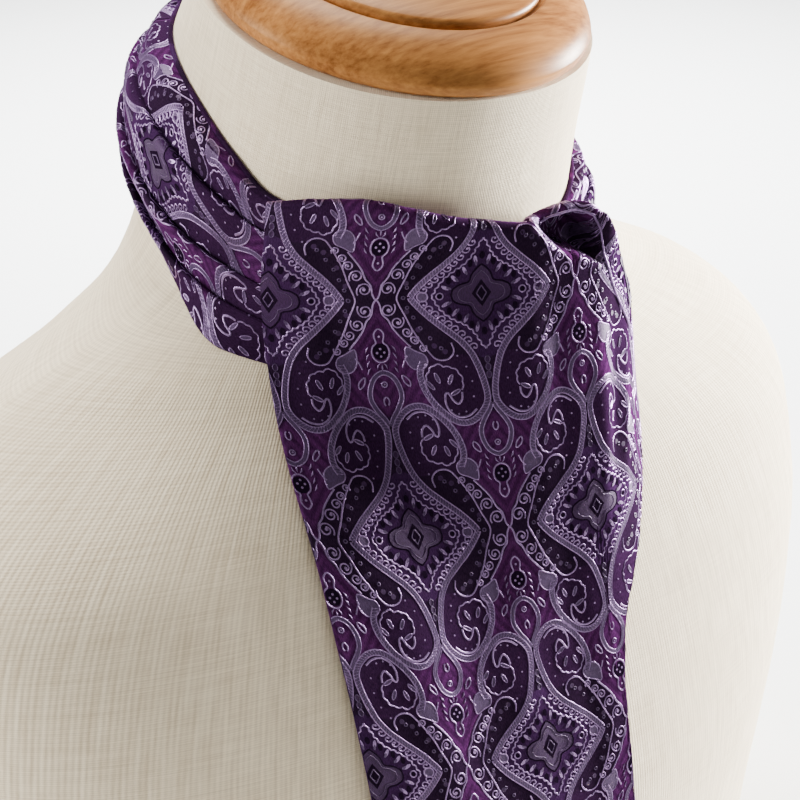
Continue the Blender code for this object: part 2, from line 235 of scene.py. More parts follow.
TILT = ((0, 40, 130), (1, 0.9, 0))  # rings tilt with the neck, and are level from 130 down
FORM_ROUND = 144
FORM_RINGS = 120
FORM_GIRTH = 0.5        # metres of linen round the form that the weave's map counts
WARP_PITCH = 0.00078
WEFT_PITCH = 0.00072
YARN_SHADE = 0.14
YARN_WANDER = 0.9
YARN_NOISE = (          # weight of each unevenness of the yarn; its scale, detail and stretch
    (1.1, 1, 2, (1100, 50, 1)), (0.8, 1, 2, (60, 1300, 1)), (0.2, 14, 3),
)
LINEN_RELIEF = (0.4, 0.0001)            # strength and height of the threads
LINEN_TONES = ((0.3, (0.68, 0.532, 0.340)), (1, (0.96, 0.805, 0.565)))


def bent(t, step, start, end, lean_start, lean_end):
    """A smooth way from start to end, leaving and arriving with these slopes; t runs 0 to 1."""
    leaving = (1 + 2 * t) * (1 - t) ** 2 * start + t * (1 - t) ** 2 * step * lean_start
    return leaving + t * t * (3 - 2 * t) * end + t * t * (t - 1) * step * lean_end


def smooth(x, y, key):
    """Reads y over x at key along a smooth curve that doesn't overshoot."""
    x, y = np.asarray(x, float), np.asarray(y, float)
    slope = np.diff(y) / np.diff(x)
    lean = np.concatenate(([slope[0]], (slope[1:] + slope[:-1]) / 2, [slope[-1]]))
    turns = np.concatenate(([False], slope[1:] * slope[:-1] <= 0, [False]))
    lean[turns] = 0.0
    key = np.clip(key, x[0], x[-1])
    i = np.clip(np.searchsorted(x, key) - 1, 0, len(x) - 2)
    step = x[i + 1] - x[i]
    t = (key - x[i]) / step
    return bent(t, step, y[i], y[i + 1], lean[i], lean[i + 1])


def read(table, column, key):
    """Reads one named column of a table at key, its first column."""
    rows = np.array(table["rows"], float)
    return smooth(rows[:, 0], rows[:, table["columns"].index(column)], key)


def form_reach(side, forward, below):
    """The form's surface from its middle line, in the direction of (side, forward)."""
    size = np.hypot(side, forward)
    power = read(FORM, "square", below)
    deep = np.where(forward > 0, read(FORM, "front", below), read(FORM, "back", below))
    wide = read(FORM, "half_width", below)
    return (np.abs(side / size / wide) ** power + np.abs(forward / size / deep) ** power) ** (-1 / power)


def together(*parts):
    """Joins arrays of coordinates into points."""
    return np.stack(np.broadcast_arrays(*parts), -1)


def on_form(angle, below, out):
    """Points out from the form's surface; angle in radians from straight ahead."""
    away = form_reach(np.sin(angle), np.cos(angle), below) + out
    return together(away * np.sin(angle), away * np.cos(angle) - read(FORM, "middle", below), below)


def place(points):
    """(side, forward, below) in millimetres to metres in the world."""
    side, forward, below = np.moveaxis(np.asarray(points, float), -1, 0)
    return together(side, -forward - CAP_AHEAD, CAP_LEVEL - below) * MM


def laid_grid(name, points, weave):
    """A grid mesh whose vertices lie at points[s, t] in metres, with the weave's (s, t) as UVs."""
    count_s, count_t = points.shape[:2]
    shape = bmesh.new()
    bmesh.ops.create_grid(shape, x_segments=count_s - 1, y_segments=count_t - 1, size=1.0)
    mesh = mesh_of(name, shape)
    flat = np.zeros(len(mesh.vertices) * 3, np.float32)
    mesh.vertices.foreach_get("co", flat)
    flat = flat.reshape(-1, 3)
    i = np.rint((flat[:, 0] + 1) / 2 * (count_s - 1)).astype(int)
    j = np.rint((flat[:, 1] + 1) / 2 * (count_t - 1)).astype(int)
    mesh.vertices.foreach_set("co", points[i, j].astype(np.float32).ravel())
    corners = np.zeros(len(mesh.loops), np.int32)
    mesh.loops.foreach_get("vertex_index", corners)
    layer = mesh.uv_layers.new(name="weave")
    layer.data.foreach_set("uv", weave[i[corners], j[corners]].astype(np.float32).ravel())
    mesh.flip_normals()
    return mesh


def show(name, mesh, material, slot, *nodes):
    """Links a finished mesh as a piece that rides with the form and stands for these nodes."""
    piece = bpy.data.objects.new(name, mesh)
    piece.data.materials.append(material)
    bpy.context.scene.collection.objects.link(piece)
    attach(piece, "root")
    if nodes:
        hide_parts(*nodes)
    return piece


linen, linen_nodes, linen_shader = finish_of("linen", 0.92, Sheen_Weight=0.15, Sheen_Roughness=0.6)
linen_map = linen_nodes.add("ShaderNodeUVMap", uv_map="weave").outputs[0]
linen_ways = linen_nodes.add("ShaderNodeSeparateXYZ", {0: linen_map}).outputs[:2]
wander = linen_nodes.maths("MULTIPLY", linen_nodes.noise(linen_map, 260.0, 3.0), YARN_WANDER)
warp, weft = [linen_nodes.maths("SINE", linen_nodes.total(wander, (way, 2 * pi / pitch)))
              for way, pitch in zip(linen_ways, (WARP_PITCH, WEFT_PITCH))]
uneven = [(linen_nodes.noise(linen_map, *kind), weight) for weight, *kind in YARN_NOISE]
yarn = linen_nodes.total(-0.4, (warp, YARN_SHADE), (weft, YARN_SHADE), *uneven)
linen_nodes.feed(linen_shader.inputs["Base Color"], linen_nodes.ramp(yarn, *LINEN_TONES))
linen_relief = linen_nodes.bump(*LINEN_RELIEF, linen_nodes.total(warp, (weft, 0.6)))
linen_nodes.feed(linen_shader.inputs["Normal"], linen_relief)

ring_levels = np.linspace(0.0, CAP_LEVEL, FORM_RINGS)
angles = np.linspace(pi, -pi, FORM_ROUND + 1)[:, None]
ring_tilt = tan(NECK_LEAN) * smooth(*TILT, ring_levels)
below = np.repeat(ring_levels[None, :], len(angles), axis=0)
for _ in range(6):      # each ring settles on its tilted plane
    below = ring_levels + ring_tilt * on_form(angles, below, 0.0)[..., 1]
form_weave = together(FORM_GIRTH * angles / pi / 2, ring_levels * MM)
form_grid = laid_grid("form_grid", place(on_form(angles, below, 0.0)), form_weave)
shape = bmesh.new()
shape.from_mesh(form_grid)
bmesh.ops.remove_doubles(shape, verts=shape.verts, dist=0.00001)
bmesh.ops.holes_fill(shape, edges=[e for e in shape.edges if e.is_boundary])
show("form_linen", mesh_of("form_linen", shape, sharp=50), linen, "linen", "form_body")

# ---- Neck cap ----
# Turned from one block of honey-brown wood and lacquered: a bullnose rim, a cut groove and a
# low second tier. It is glued square on the neck's top, with the grain across it.
CAP_SEAT = 0.3
CAP_TURNS = 128
CAP_PROFILE = (
    (0, 20.5), (14, 20.3), (30, 19.6), (41, 18.3), (44.8, 17.3), (45.8, 16.2),
    (46, 14), (47.3, 14), (47.8, 15.6), (54, 13.7), (60, 10.9), (63.6, 7.8),
    (65.2, 4.6), (64.9, 1.8), (63.4, 0), (0, 0),
)
CAP_SOFT = 0.0006       # rounding of the turned edges
WOOD_GRAIN = (2.2, 6, (14, 260, 260), 52, 0.62)  # scale, detail, stretch, turn, roughness
WOOD_FIGURE = (2, 3, (3, 16, 16), 52)
WOOD_RELIEF = (0.15, 0.0001)
WOOD_TONES = ((0.36, (0.15, 0.045, 0.010)), (0.66, (0.52, 0.225, 0.062)))
shape = bmesh.new()
outline = [shape.verts.new((r * MM, 0.0, (h + CAP_SEAT) * MM)) for r, h in CAP_PROFILE]
profile = [shape.edges.new(pair) for pair in zip(outline, outline[1:])]
bmesh.ops.spin(shape, geom=outline + profile, cent=(0, 0, 0), axis=(0, 0, 1), angle=2 * pi,
               steps=CAP_TURNS, use_merge=True)
bmesh.ops.remove_doubles(shape, verts=shape.verts, dist=0.00001)
bmesh.ops.recalc_face_normals(shape, faces=shape.faces)
corners = [e for e in shape.edges if e.is_manifold and abs(e.calc_face_angle_signed()) > radians(24)]
bmesh.ops.bevel(shape, geom=corners, offset=CAP_SOFT, affect="EDGES", segments=3, profile=0.5,
                material=-1)
seat = Matrix.Translation(place((0.0, 0.0, 0.0))) @ Matrix.Rotation(NECK_LEAN, 4, "X")
bmesh.ops.transform(shape, matrix=seat, verts=shape.verts)

wood, wood_nodes, wood_shader = finish_of("turned_wood", 0.34, Specular_IOR_Level=0.11,
                                          Specular_Tint=(1.0, 0.72, 0.42, 1.0))
wood_place = wood_nodes.add("ShaderNodeTexCoord").outputs["Object"]
grain = wood_nodes.noise(wood_place, *WOOD_GRAIN)
figure = wood_nodes.noise(wood_place, *WOOD_FIGURE)
wood_shade = wood_nodes.total(wood_nodes.maths("MULTIPLY", figure, 0.55), (grain, 0.45))
wood_nodes.feed(wood_shader.inputs["Base Color"], wood_nodes.ramp(wood_shade, *WOOD_TONES))
wood_nodes.feed(wood_shader.inputs["Normal"], wood_nodes.bump(*WOOD_RELIEF, grain))
show("cap_wood", mesh_of("cap_wood", shape, sharp=40), wood, "turned_wood", "neck_cap")

# ---- The silk's woven figure ----
# Medallions in a rope frame stand in staggered rows, and each frame runs on into two paisleys
# and a hanging drop. One quarter of a medallion is drawn flat here, in millimetres, and is
# mirrored and repeated. The lilac threads stand a little proud of the aubergine ground.
REPEAT_S = 35.0         # half the distance between medallions in a row
REPEAT_T = 81.0         # from one row to the next
STITCH = 0.8            # spacing of points along a line of thread
LINE = 0.55             # width of a line
LINE_EDGE = 0.05        # height of its edges and of its middle over the ground
LINE_TOP = 0.24
AXES = ((0, 0), (0, REPEAT_S), (1, 0), (1, REPEAT_T))


def beyond(end, near):
    """The point that follows a curve's end: mirrored where the curve meets one of the axes."""
    for axis, value in AXES:
        if abs(end[axis] - value) < 0.01:
            mirrored = np.array(near)
            mirrored[axis] = 2 * value - near[axis]
            return mirrored
    return 2 * end - near


def run_of(path):
    """Distance along a path, or along each column of a table of points, to every point."""
    steps = np.linalg.norm(np.diff(path, axis=0), axis=-1)
    return np.concatenate((np.zeros_like(steps[:1]), np.cumsum(steps, axis=0)))


def even(path, step=STITCH):
    """The same path with its points evenly spaced, about step apart."""
    run = run_of(path)
    places = np.linspace(0.0, run[-1], max(3, int(round(run[-1] / step)) + 1))
    return together(*[np.interp(places, run, path[:, k]) for k in (0, 1)])


def through(points, step=STITCH, closed=False, square_ends=True):
    """Points about this far apart along a smooth curve through the given ones."""
    given = np.array(points, float)
    if closed:
        given = np.vstack((given[-1:], given, given[:2]))
    elif square_ends:
        given = np.vstack((beyond(given[0], given[1]), given, beyond(given[-1], given[-2])))
    else:
        given = np.vstack((2 * given[0] - given[1], given, 2 * given[-1] - given[-2]))
    knot = np.concatenate(([0.0], np.cumsum(np.linalg.norm(np.diff(given, axis=0), axis=1) ** 0.6)))
    lean = np.gradient(given, knot, axis=0)
    dense = []
    share = np.linspace(0.0, 1.0, 16, endpoint=False)[:, None]
    for a in range(1, len(given) - 2):
        gap = knot[a + 1] - knot[a]
        dense.append(bent(share, gap, given[a], given[a + 1], lean[a], lean[a + 1]))
    return even(np.vstack(dense + [given[-2:-1]]), step)


def arc(centre, wide, high=None, start=0.0, end=360.0, step=0.6):
    """Points round an ellipse, from one angle to another in degrees, 0 to the side and 90 down."""
    high = high or wide
    count = max(6, int(abs(radians(end - start)) * (wide + high) / 2 / step)) + 1
    turn = np.radians(np.linspace(start, end, count))
    return together(centre[0] + wide * np.cos(turn), centre[1] + high * np.sin(turn))


def heading(path):
    """Unit vectors along a path; one that closes has one heading where its ends meet."""
    along = np.gradient(path, axis=0)
    if np.linalg.norm(path[0] - path[-1]) < 0.01:
        along[0] = along[-1] = along[0] + along[-1]
    return along / np.linalg.norm(along, axis=1)[:, None]


def sideways(path, distance):
    """The path moved sideways, to the left of its run where distance is positive."""
    along = heading(path)
    return path + distance * together(along[:, 1], -along[:, 0])


def stroke(shape, path, width=LINE, thin_ends=False, high=0.0):
    """A raised line of thread along a path."""
    count = len(path)
    grid = bmesh.ops.create_grid(shape, x_segments=2, y_segments=count - 1, size=1.0)
    share = np.linspace(0.0, 1.0, count)
    half = width / 2 * (np.sqrt(np.maximum(1 - (2 * share - 1) ** 2, 0.02)) if thin_ends else 1.0)
    left = sideways(path, 1.0) - path
    for vert in grid["verts"]:
        j = round((vert.co.y + 1) / 2 * (count - 1))
        across = vert.co.x * (half[j] if thin_ends else half)
        s, t = path[j] + left[j] * across
        vert.co = (s, t, high + LINE_EDGE + (LINE_TOP - LINE_EDGE) * (1 - abs(vert.co.x)))


def fill(shape, outline, centre, high, rings=4):
    """A patch of plain thread between a centre and an outline round it."""
    count = len(outline)
    grid = bmesh.ops.create_grid(shape, x_segments=rings, y_segments=count - 1, size=1.0)
    for vert in grid["verts"]:
        j = round((vert.co.y + 1) / 2 * (count - 1))
        share = (vert.co.x + 1) / 2
        s, t = np.array(centre) + (outline[j] - centre) * share
        vert.co = (s, t, high)


def dot(shape, centre, wide, high_t=None, turn=0.0, high=LINE_TOP):
    """A small solid spot of thread."""
    made = bmesh.ops.create_circle(shape, cap_ends=True, segments=10, radius=1.0)
    put = (Matrix.Translation((*centre, high)) @ Matrix.Rotation(radians(turn), 4, "Z")
           @ Matrix.Diagonal((wide, high_t or wide, 1.0, 1.0)))
    bmesh.ops.transform(shape, matrix=put, verts=made["verts"])


FRAME_LINE = ((23.6, 0), (22.6, 1.8), (18.6, 6.4), (13.2, 11.2), (8.4, 15.6), (5.2, 20), (3.4, 24.5),
              (2.2, 29), (1.5, 33), (1.6, 36.5), (4, 40.5), (8, 43.3), (12, 43.3), (16.8, 39.8),
              (20.5, 35), (22.5, 30), (22.8, 26), (21.5, 22.5))
FRAME_HALF = 0.95       # each of the frame's two edges from its middle
ROPE_PITCH = 1.1
INNER_LINE = ((28.2, 0), (28, 1.2), (25.7, 6.6), (23.7, 11.6), (21.5, 15.6), (18.9, 19.5), (17.3, 21.3),
              (15.2, 21.9), (12.6, 21.2), (11, 18.9), (11.6, 16))
OUTER_LINE = ((35, 0), (34, 1.5), (33.1, 5.6), (31.5, 7.5), (30, 11), (27.5, 14.5), (24.9, 17.5))
CURLS = (((31.1, 4), 2.1), ((28.3, 8.9), 1.9), ((25.5, 12.5), 1.5), ((23.4, 15.1), 1.3),
         ((20.9, 17.8), 1.1))
CURL_TURNS = (225, -285)
CHEVRON_DOTS = ((24.8, 3.7), (23, 7.3), (21, 11), (18.2, 14.4), (15, 17.8))
DIAMOND = ((16.5, 0), (15.8, 1.8), (14.7, 3.7), (12.8, 6.1), (9.8, 8.4), (6.2, 10.4), (3.5, 13.2),
           (1.8, 16.2), (0, 18.8))
STAR = ((10.3, 0), (9.7, 1.9), (7.4, 3.3), (4.2, 4.2), (3.3, 6.4), (1.7, 8.4), (0, 9.7))
HOOKS = 9
HOOK_PITCH = 2.7
HOOK_FIRST = 3.6
HOOK = ((0, 0.8), (-0.15, 1.9), (0.3, 2.8), (1.1, 3.2), (1.85, 2.8), (1.95, 2.1), (1.4, 1.8))
DROP = ((0, 37.5), (1.6, 40), (3.6, 43), (5.1, 46.5), (4.8, 50), (3, 53.6), (0, 55.2))
BUD = ((26.5, 17.5), (27, 20), (26.6, 23), (24.6, 25), (21.6, 24.8), (19.9, 22.6), (20.6, 20.2),
       (23.4, 18.9))
SPINE_LINE = ((5.6, 39.2), (8.4, 41.2), (11.5, 41.6), (14.2, 40), (15.6, 37.3), (15.7, 34.5),
              (15.2, 33.1), (14.4, 33.3), (13.3, 35.5), (11.6, 37), (10.2, 35.4), (9.9, 33))
FEATHER = ((10, 32.3), (9.5, 28.8), (11.6, 25.2), (15, 24.2), (17.5, 23.6), (19.8, 25.8), (21, 29),
           (21.3, 33), (19.5, 38), (16.5, 41.5))
FEATHER_LEAVES = (((17.5, 28), 20), ((13.2, 28.5), -25), ((20, 30.5), 40), ((12, 33), -62))
BEADS = (((2.3, 11.6), -14), ((5.9, 8.3), -30), ((9.4, 5.9), -42), ((12.3, 2.9), -60))
BEAD_SHADES = ((0.1, 12.9), (4, 10.4), (8, 7.6), (11.2, 5.2))
CHEVRON_DISCS = ((25.1, 5.2), (21.9, 11.6), (17.2, 17), (13.9, 19))
COMMA = ((8.3, 50.3), (8.5, 51.8), (7.3, 53.4), (6.2, 54), (6.3, 52.4), (7.3, 50.9))
BERRY = ((0, 58.6), (1.9, 59.4), (2.9, 61.6), (2.5, 64), (1.2, 65.4), (1.5, 67), (1.6, 68.6), (0, 70.4))
BERRY_DOTS = ((0, 60.6), (1.2, 61.9), (0, 63.2), (0, 67.6))
PAISLEY_DOTS = ((10.1, 20.6), (7.5, 24.5), (6.1, 29.6), (6.2, 34.8), (9.4, 39.8), (11.9, 40.4), (14.2, 39))
CURL_POINTS = 34
CURL_TAPER = ((0, 0.12, 0.55, 1), (1.35, 1, 0.9, 0.3))
BUD_STEM = ((26.4, 20.5), (27.6, 22.4), (28.4, 24.4))
BERRY_RAYS = (56.9, 59.3, 61.7, 64.1)
STUDS = ((0, 22.6), (0, 25.2), (0, 27.8))

# One quarter's own marks are mirrored both ways, a row's sideways and a column's up and down.
TONES = ("lilac", "slate", "mauve", "dark")
quarter, row, column = [{tone: bmesh.new() for tone in TONES} for _ in range(3)]
lilac, slate, mauve, dark = quarter.values()
SPOTS = (       # thread, places, half width, half height, turn and lift
    (mauve, CHEVRON_DISCS, 0.95, None, 0, 0.03), (row["slate"], ((19.8, 0),), 1.7, None, 0, 0.04),
    (row["dark"], ((14.1, 0),), 0.75), (dark, BEAD_SHADES, 0.85, 1.3),
    (column["mauve"], STUDS, 0.7, 1, 0, 0.05), (column["lilac"], ((0, 51.2),), 0.35),
    (lilac, BERRY_DOTS, 0.42, None, 0, LINE_TOP + 0.04), (lilac, PAISLEY_DOTS, 0.34),
)
RINGS = (       # thread, places, half width, half height, step and width of the line
    (slate, CHEVRON_DOTS, 0.55, None, 0.45, 0.45), (row["slate"], ((26, 0),), 0.6, None, 0.45, 0.45),
    (row["lilac"], ((19.8, 0),), 1.75, None, 0.6, 0.5), (row["lilac"], ((14.1, 0),), 1.15, None, 0.5, 0.45),
    (column["slate"], STUDS, 0.85, 1.15, 0.5, 0.35), (column["lilac"], ((0, 51.2),), 0.9, None, 0.5, 0.45),
)
POINTED = (     # thread, width and points of the short strokes that taper
    (column["lilac"], 0.6, (0, 57.9), (0, 56.6), (0, 55.9)),
    (lilac, 0.5, (0.5, 58.4), (1.4, 57.4), (1.6, 56.3)), (lilac, 0.6, (17.2, 41.2), (18, 40.5), (18.7, 39.6)),
)

rope = through(FRAME_LINE)
drop = through(DROP)
for line, wide, half, edge in ((rope, 2.0, FRAME_HALF, 0.42), (drop, 1.5, 0.7, 0.4)):
    stroke(slate, line, wide, high=-0.04)
    stroke(lilac, sideways(line, half), edge)
    stroke(lilac, sideways(line, -half), edge)
strands = even(rope, ROPE_PITCH)
for middle, ahead in zip(strands, heading(strands)):
    out = np.array((ahead[1], -ahead[0])) * FRAME_HALF
    stroke(lilac, np.array((middle - out - ahead * 0.5, middle, middle + out + ahead * 0.5)), 0.24)
run = run_of(rope)
for hook in range(HOOKS):
    at = HOOK_FIRST + hook * HOOK_PITCH
    middle, near = [np.array([np.interp(spot, run, rope[:, k]) for k in (0, 1)]) for spot in (at, at + 0.5)]
    ahead = (near - middle) / np.linalg.norm(near - middle)
    inward = np.array((-ahead[1], ahead[0]))
    if inward @ middle > 0:
        inward = -inward
    crook = [middle + ahead * along + inward * across for along, across in HOOK]
    stroke(lilac, through(crook, 0.45, square_ends=False), 0.5)
    dot(lilac, crook[-1], 0.42)

stroke(lilac, through(INNER_LINE))
stroke(lilac, through(OUTER_LINE), 0.6)
for (cs, ct), radius in CURLS:
    turn = np.radians(np.linspace(*CURL_TURNS, CURL_POINTS))
    reach = radius * np.interp(np.linspace(0, 1, CURL_POINTS), *CURL_TAPER)
    stroke(lilac, even(together(cs + reach * np.cos(turn), ct + reach * np.sin(turn)), 0.6), 0.5)
    dot(lilac, (cs, ct), 0.28 * radius)
wave = through(DIAMOND, 0.5)
ripple = 0.3 * np.sin(2 * pi * np.arange(len(wave)) * 0.5 / 2.3)
stroke(lilac, sideways(wave, 1.0) * ripple[:, None] + wave * (1 - ripple[:, None]), 0.55)
star = through(STAR, 0.6, square_ends=False)
fill(mauve, star, (0, 0), 0.06, rings=9)
stroke(dark, star, 0.6)
stroke(slate, even(star * 0.78, 0.6), 0.3)
fill(dark, even(np.array(((3.3, 0), (0, 4.6))), 0.6), (0, 0), 0.12, rings=3)
stroke(slate, even(np.array(((1.7, 0), (0, 2.6))), 0.4), 0.5, high=0.04)
stroke(lilac, through(COMMA, 0.5, closed=True), 0.5)
fill(column["dark"], arc((0, 62.2), 2.5, 2.9), (0, 62.2), 0.03, rings=3)
stroke(lilac, through(BERRY, 0.5), 0.55)
bud = through(BUD, 0.8, closed=True)
fill(slate, bud, (23.4, 22.0), 0.06)
stroke(lilac, bud, 0.45)
stroke(lilac, through(BUD_STEM, 0.6, square_ends=False), 0.5)
stroke(lilac, through(SPINE_LINE, 0.6, square_ends=False), 0.7)
feather = through(FEATHER, 0.4, square_ends=False)
scallop = 0.5 * np.abs(np.sin(pi * np.arange(len(feather)) * 0.4 / 2.9))
stroke(lilac, feather + (sideways(feather, 1.0) - feather) * scallop[:, None], 0.5)
for spot, lean in FEATHER_LEAVES:
    tilt = radians(lean)
    leaf = arc((0.0, 0.0), 0.6, 1.8, step=0.5) @ np.array(((cos(tilt), sin(tilt)), (-sin(tilt), cos(tilt))))
    stroke(lilac, leaf + spot, 0.35)
    dot(slate, spot, 0.4, 1.5, lean, 0.06)
for spot, lean in BEADS:
    dot(lilac, spot, 0.62, 1.55, lean)
    dot(slate, (spot[0] * 0.9, spot[1] * 0.9), 0.45, 1.0, lean, LINE_TOP + 0.02)
for level in BERRY_RAYS:
    stroke(lilac, np.array(((3.9, level), (4.6, level - 0.9), (5.0, level - 2.1))), 0.55, thin_ends=True)
for thread_of, width, *tips in POINTED:
    stroke(thread_of, np.array(tips), width, thin_ends=True)
for thread_of, spots, *size in SPOTS:
    for spot in spots:
        dot(thread_of, spot, *size)
for thread_of, spots, wide, high, step, width in RINGS:
    for spot in spots:
        stroke(thread_of, arc(spot, wide, high, step=step), width)
stroke(column["lilac"], arc((0, 45.4), 0.9, 1.5, start=-60, end=240, step=0.5), 0.5)

MIRRORS = ((quarter, ((1, 1), (-1, 1), (1, -1), (-1, -1))), (row, ((1, 1), (-1, 1))),
           (column, ((1, 1), (1, -1))))


def whole(tone):
    """One medallion with all that hangs from it, in one thread: its parts and their mirrors."""
    gathered = bmesh.new()
    for parts, copies in MIRRORS:
        part = mesh_of("part", parts[tone])
        for over_s, over_t in copies:
            verts, faces = len(gathered.verts), len(gathered.faces)
            gathered.from_mesh(part)
            gathered.verts.ensure_lookup_table()
            gathered.faces.ensure_lookup_table()
            bmesh.ops.scale(gathered, vec=(over_s, over_t, 1), verts=gathered.verts[verts:])
            if over_s * over_t < 0:
                bmesh.ops.reverse_faces(gathered, faces=gathered.faces[faces:])
        bpy.data.meshes.remove(part)
    bmesh.ops.remove_doubles(gathered, verts=gathered.verts, dist=0.02)
    return mesh_of("medallion_" + tone, gathered)


medallion = {tone: whole(tone) for tone in TONES}


class Drape:
    """The place of a stretch of cloth in metres, read by millimetres across and along it."""

    def __init__(self, first_s, first_t, step, points):
        self.first, self.step, self.points = (first_s, first_t), step, points
        normal = np.cross(np.gradient(points, axis=1), np.gradient(points, axis=0))
        self.normal = normal / np.maximum(np.linalg.norm(normal, axis=2, keepdims=True), 1e-12)

    def at(self, s, t, lift=0.0):
        """Points on the cloth at (s, t), raised by lift millimetres."""
        a = np.clip((s - self.first[0]) / self.step, 0, self.points.shape[0] - 1.001)
        b = np.clip((t - self.first[1]) / self.step, 0, self.points.shape[1] - 1.001)
        i, j = a.astype(int), b.astype(int)
        a, b = (a - i)[..., None], (b - j)[..., None]
        both = []
        for table in (self.points, self.normal):
            near = table[i, j] * (1 - a) + table[i + 1, j] * a
            far = table[i, j + 1] * (1 - a) + table[i + 1, j + 1] * a
            both.append(near * (1 - b) + far * b)
        return both[0] + both[1] * (np.asarray(lift)[..., None] * MM)


def weave_figure(name, tone, drape, strips):
    """The medallions over a stretch of cloth, cut at its edges, as one mesh.

    Each strip says which part of the cloth it is: how far the pattern is shifted on it, and
    the least and most (s, t) there, as functions of the other.
    """
    shape = bmesh.new()
    places = []
    for strip in strips:
        start = len(shape.verts)
        (s_low, s_high), (t_low, t_high) = strip["span_s"], strip["span_t"]
        for i in range(int(s_low // REPEAT_S) - 1, int(s_high // REPEAT_S) + 3):
            for j in range(int(t_low // REPEAT_T) - 1, int(t_high // REPEAT_T) + 3):
                if (i + j) % 2 == 0:
                    verts = len(shape.verts)
                    shape.from_mesh(medallion[tone])
                    shape.verts.ensure_lookup_table()
                    move = (i * REPEAT_S, j * REPEAT_T, 0.0)
                    bmesh.ops.translate(shape, vec=move, verts=shape.verts[verts:])
        shape.verts.ensure_lookup_table()
        flat_places = np.array([v.co for v in shape.verts[start:]]).reshape(-1, 3)
        s, t = flat_places[:, 0] - strip["shift"], flat_places[:, 1]
        t_in = np.clip(t, *strip["edge_t"](s))
        s_in = np.clip(s, *strip["edge_s"](t_in))
        outside = (np.abs(t - t_in) > 1e-6) | (np.abs(s - s_in) > 1e-6)
        for vert, out in zip(shape.verts[start:], outside):
            vert.tag = bool(out)
        places.append(drape.at(s_in, t_in, flat_places[:, 2]))
    places = np.vstack(places)
    layer = shape.loops.layers.uv.new("weave")
    for face in shape.faces:
        for corner in face.loops:
            corner[layer].uv = corner.vert.co.xy * MM
    for vert, point in zip(shape.verts, places):
        vert.co = point
    gone = [f for f in shape.faces if all(v.tag for v in f.verts)]
    bmesh.ops.delete(shape, geom=gone, context="FACES")
    bmesh.ops.reverse_faces(shape, faces=shape.faces)
    return mesh_of(name, shape)


# ---- The silk's ground and threads ----
# Jacquard silk: an aubergine satin ground with purple fields, and a lilac figure in a twill
# of thicker thread. A purple sheen lies on the ground and a metallic lustre on the threads.
TWILL_PITCH = 0.0006
FIELD_PITCH = 3.6       # millimetres from one diamond of the shaded field to the next
WEAVE_PULL = (3200, 900, 1)
BUD_LEVEL = 22.0        # depth of the bud's middle, where the field's diamonds centre
GROUND_RELIEF = 0.00004     # height of the twill in metres
THREAD_RELIEF = 0.00006
SILK_GLOSS = (0.90, 0.62, 0.98, 1.0)
FIELD_EDGE = (*OUTER_LINE[:3], *OUTER_LINE[4:6], (25.6, 17.5), (27, 21), (24, 25), (22.8, 27), (22.5, 30),
              (20.5, 35), (17.6, 38.5), (16.5, 40.5))
CHEVRON_START = ((24.9, 0), (19.9, 6.4), (14.5, 11.2), (11.2, 14.5), (11.3, 16.2), (10.9, 18.5),
                 (12.3, 20.8), (15, 21.9), (40, 23), (40, 40.5))
CHEVRON_END = (INNER_LINE[0], *INNER_LINE[2:6], (15, 21.9), (0, 23), (0, 40.5))
MEDALLION_EDGE = (FRAME_LINE[0], *FRAME_LINE[2:6], (0, 23), (0, 40.5))
PAISLEY_EDGE = ((40, 0), (40, 19), (5, 20.5), *FRAME_LINE[6:11])
MATE_TOP = ((60, 0), (60, 16), (41.2, 18.2), (37.7, 23), (37.7, 27), (40.5, 31), (60, 33), (60, 40.5))
GROUND = (0.018, 0.0080, 0.022, 1)
FIELD_DARK = (0.036, 0.0080, 0.040, 1)
FIELD_LIGHT = (0.062, 0.014, 0.066, 1)
INSIDE = (0.032, 0.012, 0.043, 1)
CHEVRON = (0.015, 0.0068, 0.018, 1)
PAISLEY_GROUND = (0.024, 0.0085, 0.029, 1)


def weave_group():
    """A node group that reads the weave's map: the twill's relief and the shade's unevenness."""
    group = bpy.data.node_groups.new("silk_weave", "ShaderNodeTree")
    for name, way, kind in (("Weave", "INPUT", "Vector"), ("Relief", "OUTPUT", "Float"),
                            ("Shade", "OUTPUT", "Float")):
        group.interface.new_socket(name, in_out=way, socket_type="NodeSocket" + kind)
    nodes = Nodes(group)
    weave = nodes.add("NodeGroupInput").outputs["Weave"]
    across, along = nodes.add("ShaderNodeSeparateXYZ", {0: weave}).outputs[:2]
    slope = nodes.maths("MULTIPLY", nodes.maths("ADD", across, along), 2 * pi / TWILL_PITCH)
    twill = nodes.maths("SINE", slope)
    grain = nodes.noise(weave, 1.0, 2.0, WEAVE_PULL)
    shade = nodes.total(-0.24, (grain, 2.0), (nodes.noise(weave, 55.0, 2.0), 0.5), (twill, 0.07))
    nodes.add("NodeGroupOutput", {"Relief": nodes.total(twill, (grain, 2.5)), "Shade": shade})
    return group


silk_weave = weave_group()


def woven_finish(name, colour, roughness, gloss, relief, **constants):
    """A silk finish whose colour is dyed unevenly and whose twill stands up by relief, in metres."""
    material, nodes, shader = finish_of(name, roughness, Specular_IOR_Level=gloss,
                                        Specular_Tint=SILK_GLOSS, **constants)
    weave = nodes.add("ShaderNodeUVMap", uv_map="weave").outputs[0]
    threads = nodes.add("ShaderNodeGroup", {"Weave": weave}, node_tree=silk_weave).outputs
    dyed = nodes.add("ShaderNodeHueSaturation", {"Value": threads["Shade"], "Color": colour})
    nodes.feed(shader.inputs["Base Color"], dyed.outputs[0])
    nodes.feed(shader.inputs["Normal"], nodes.bump(0.3, relief, threads["Relief"]))
    return material, nodes, weave, dyed.inputs["Color"]


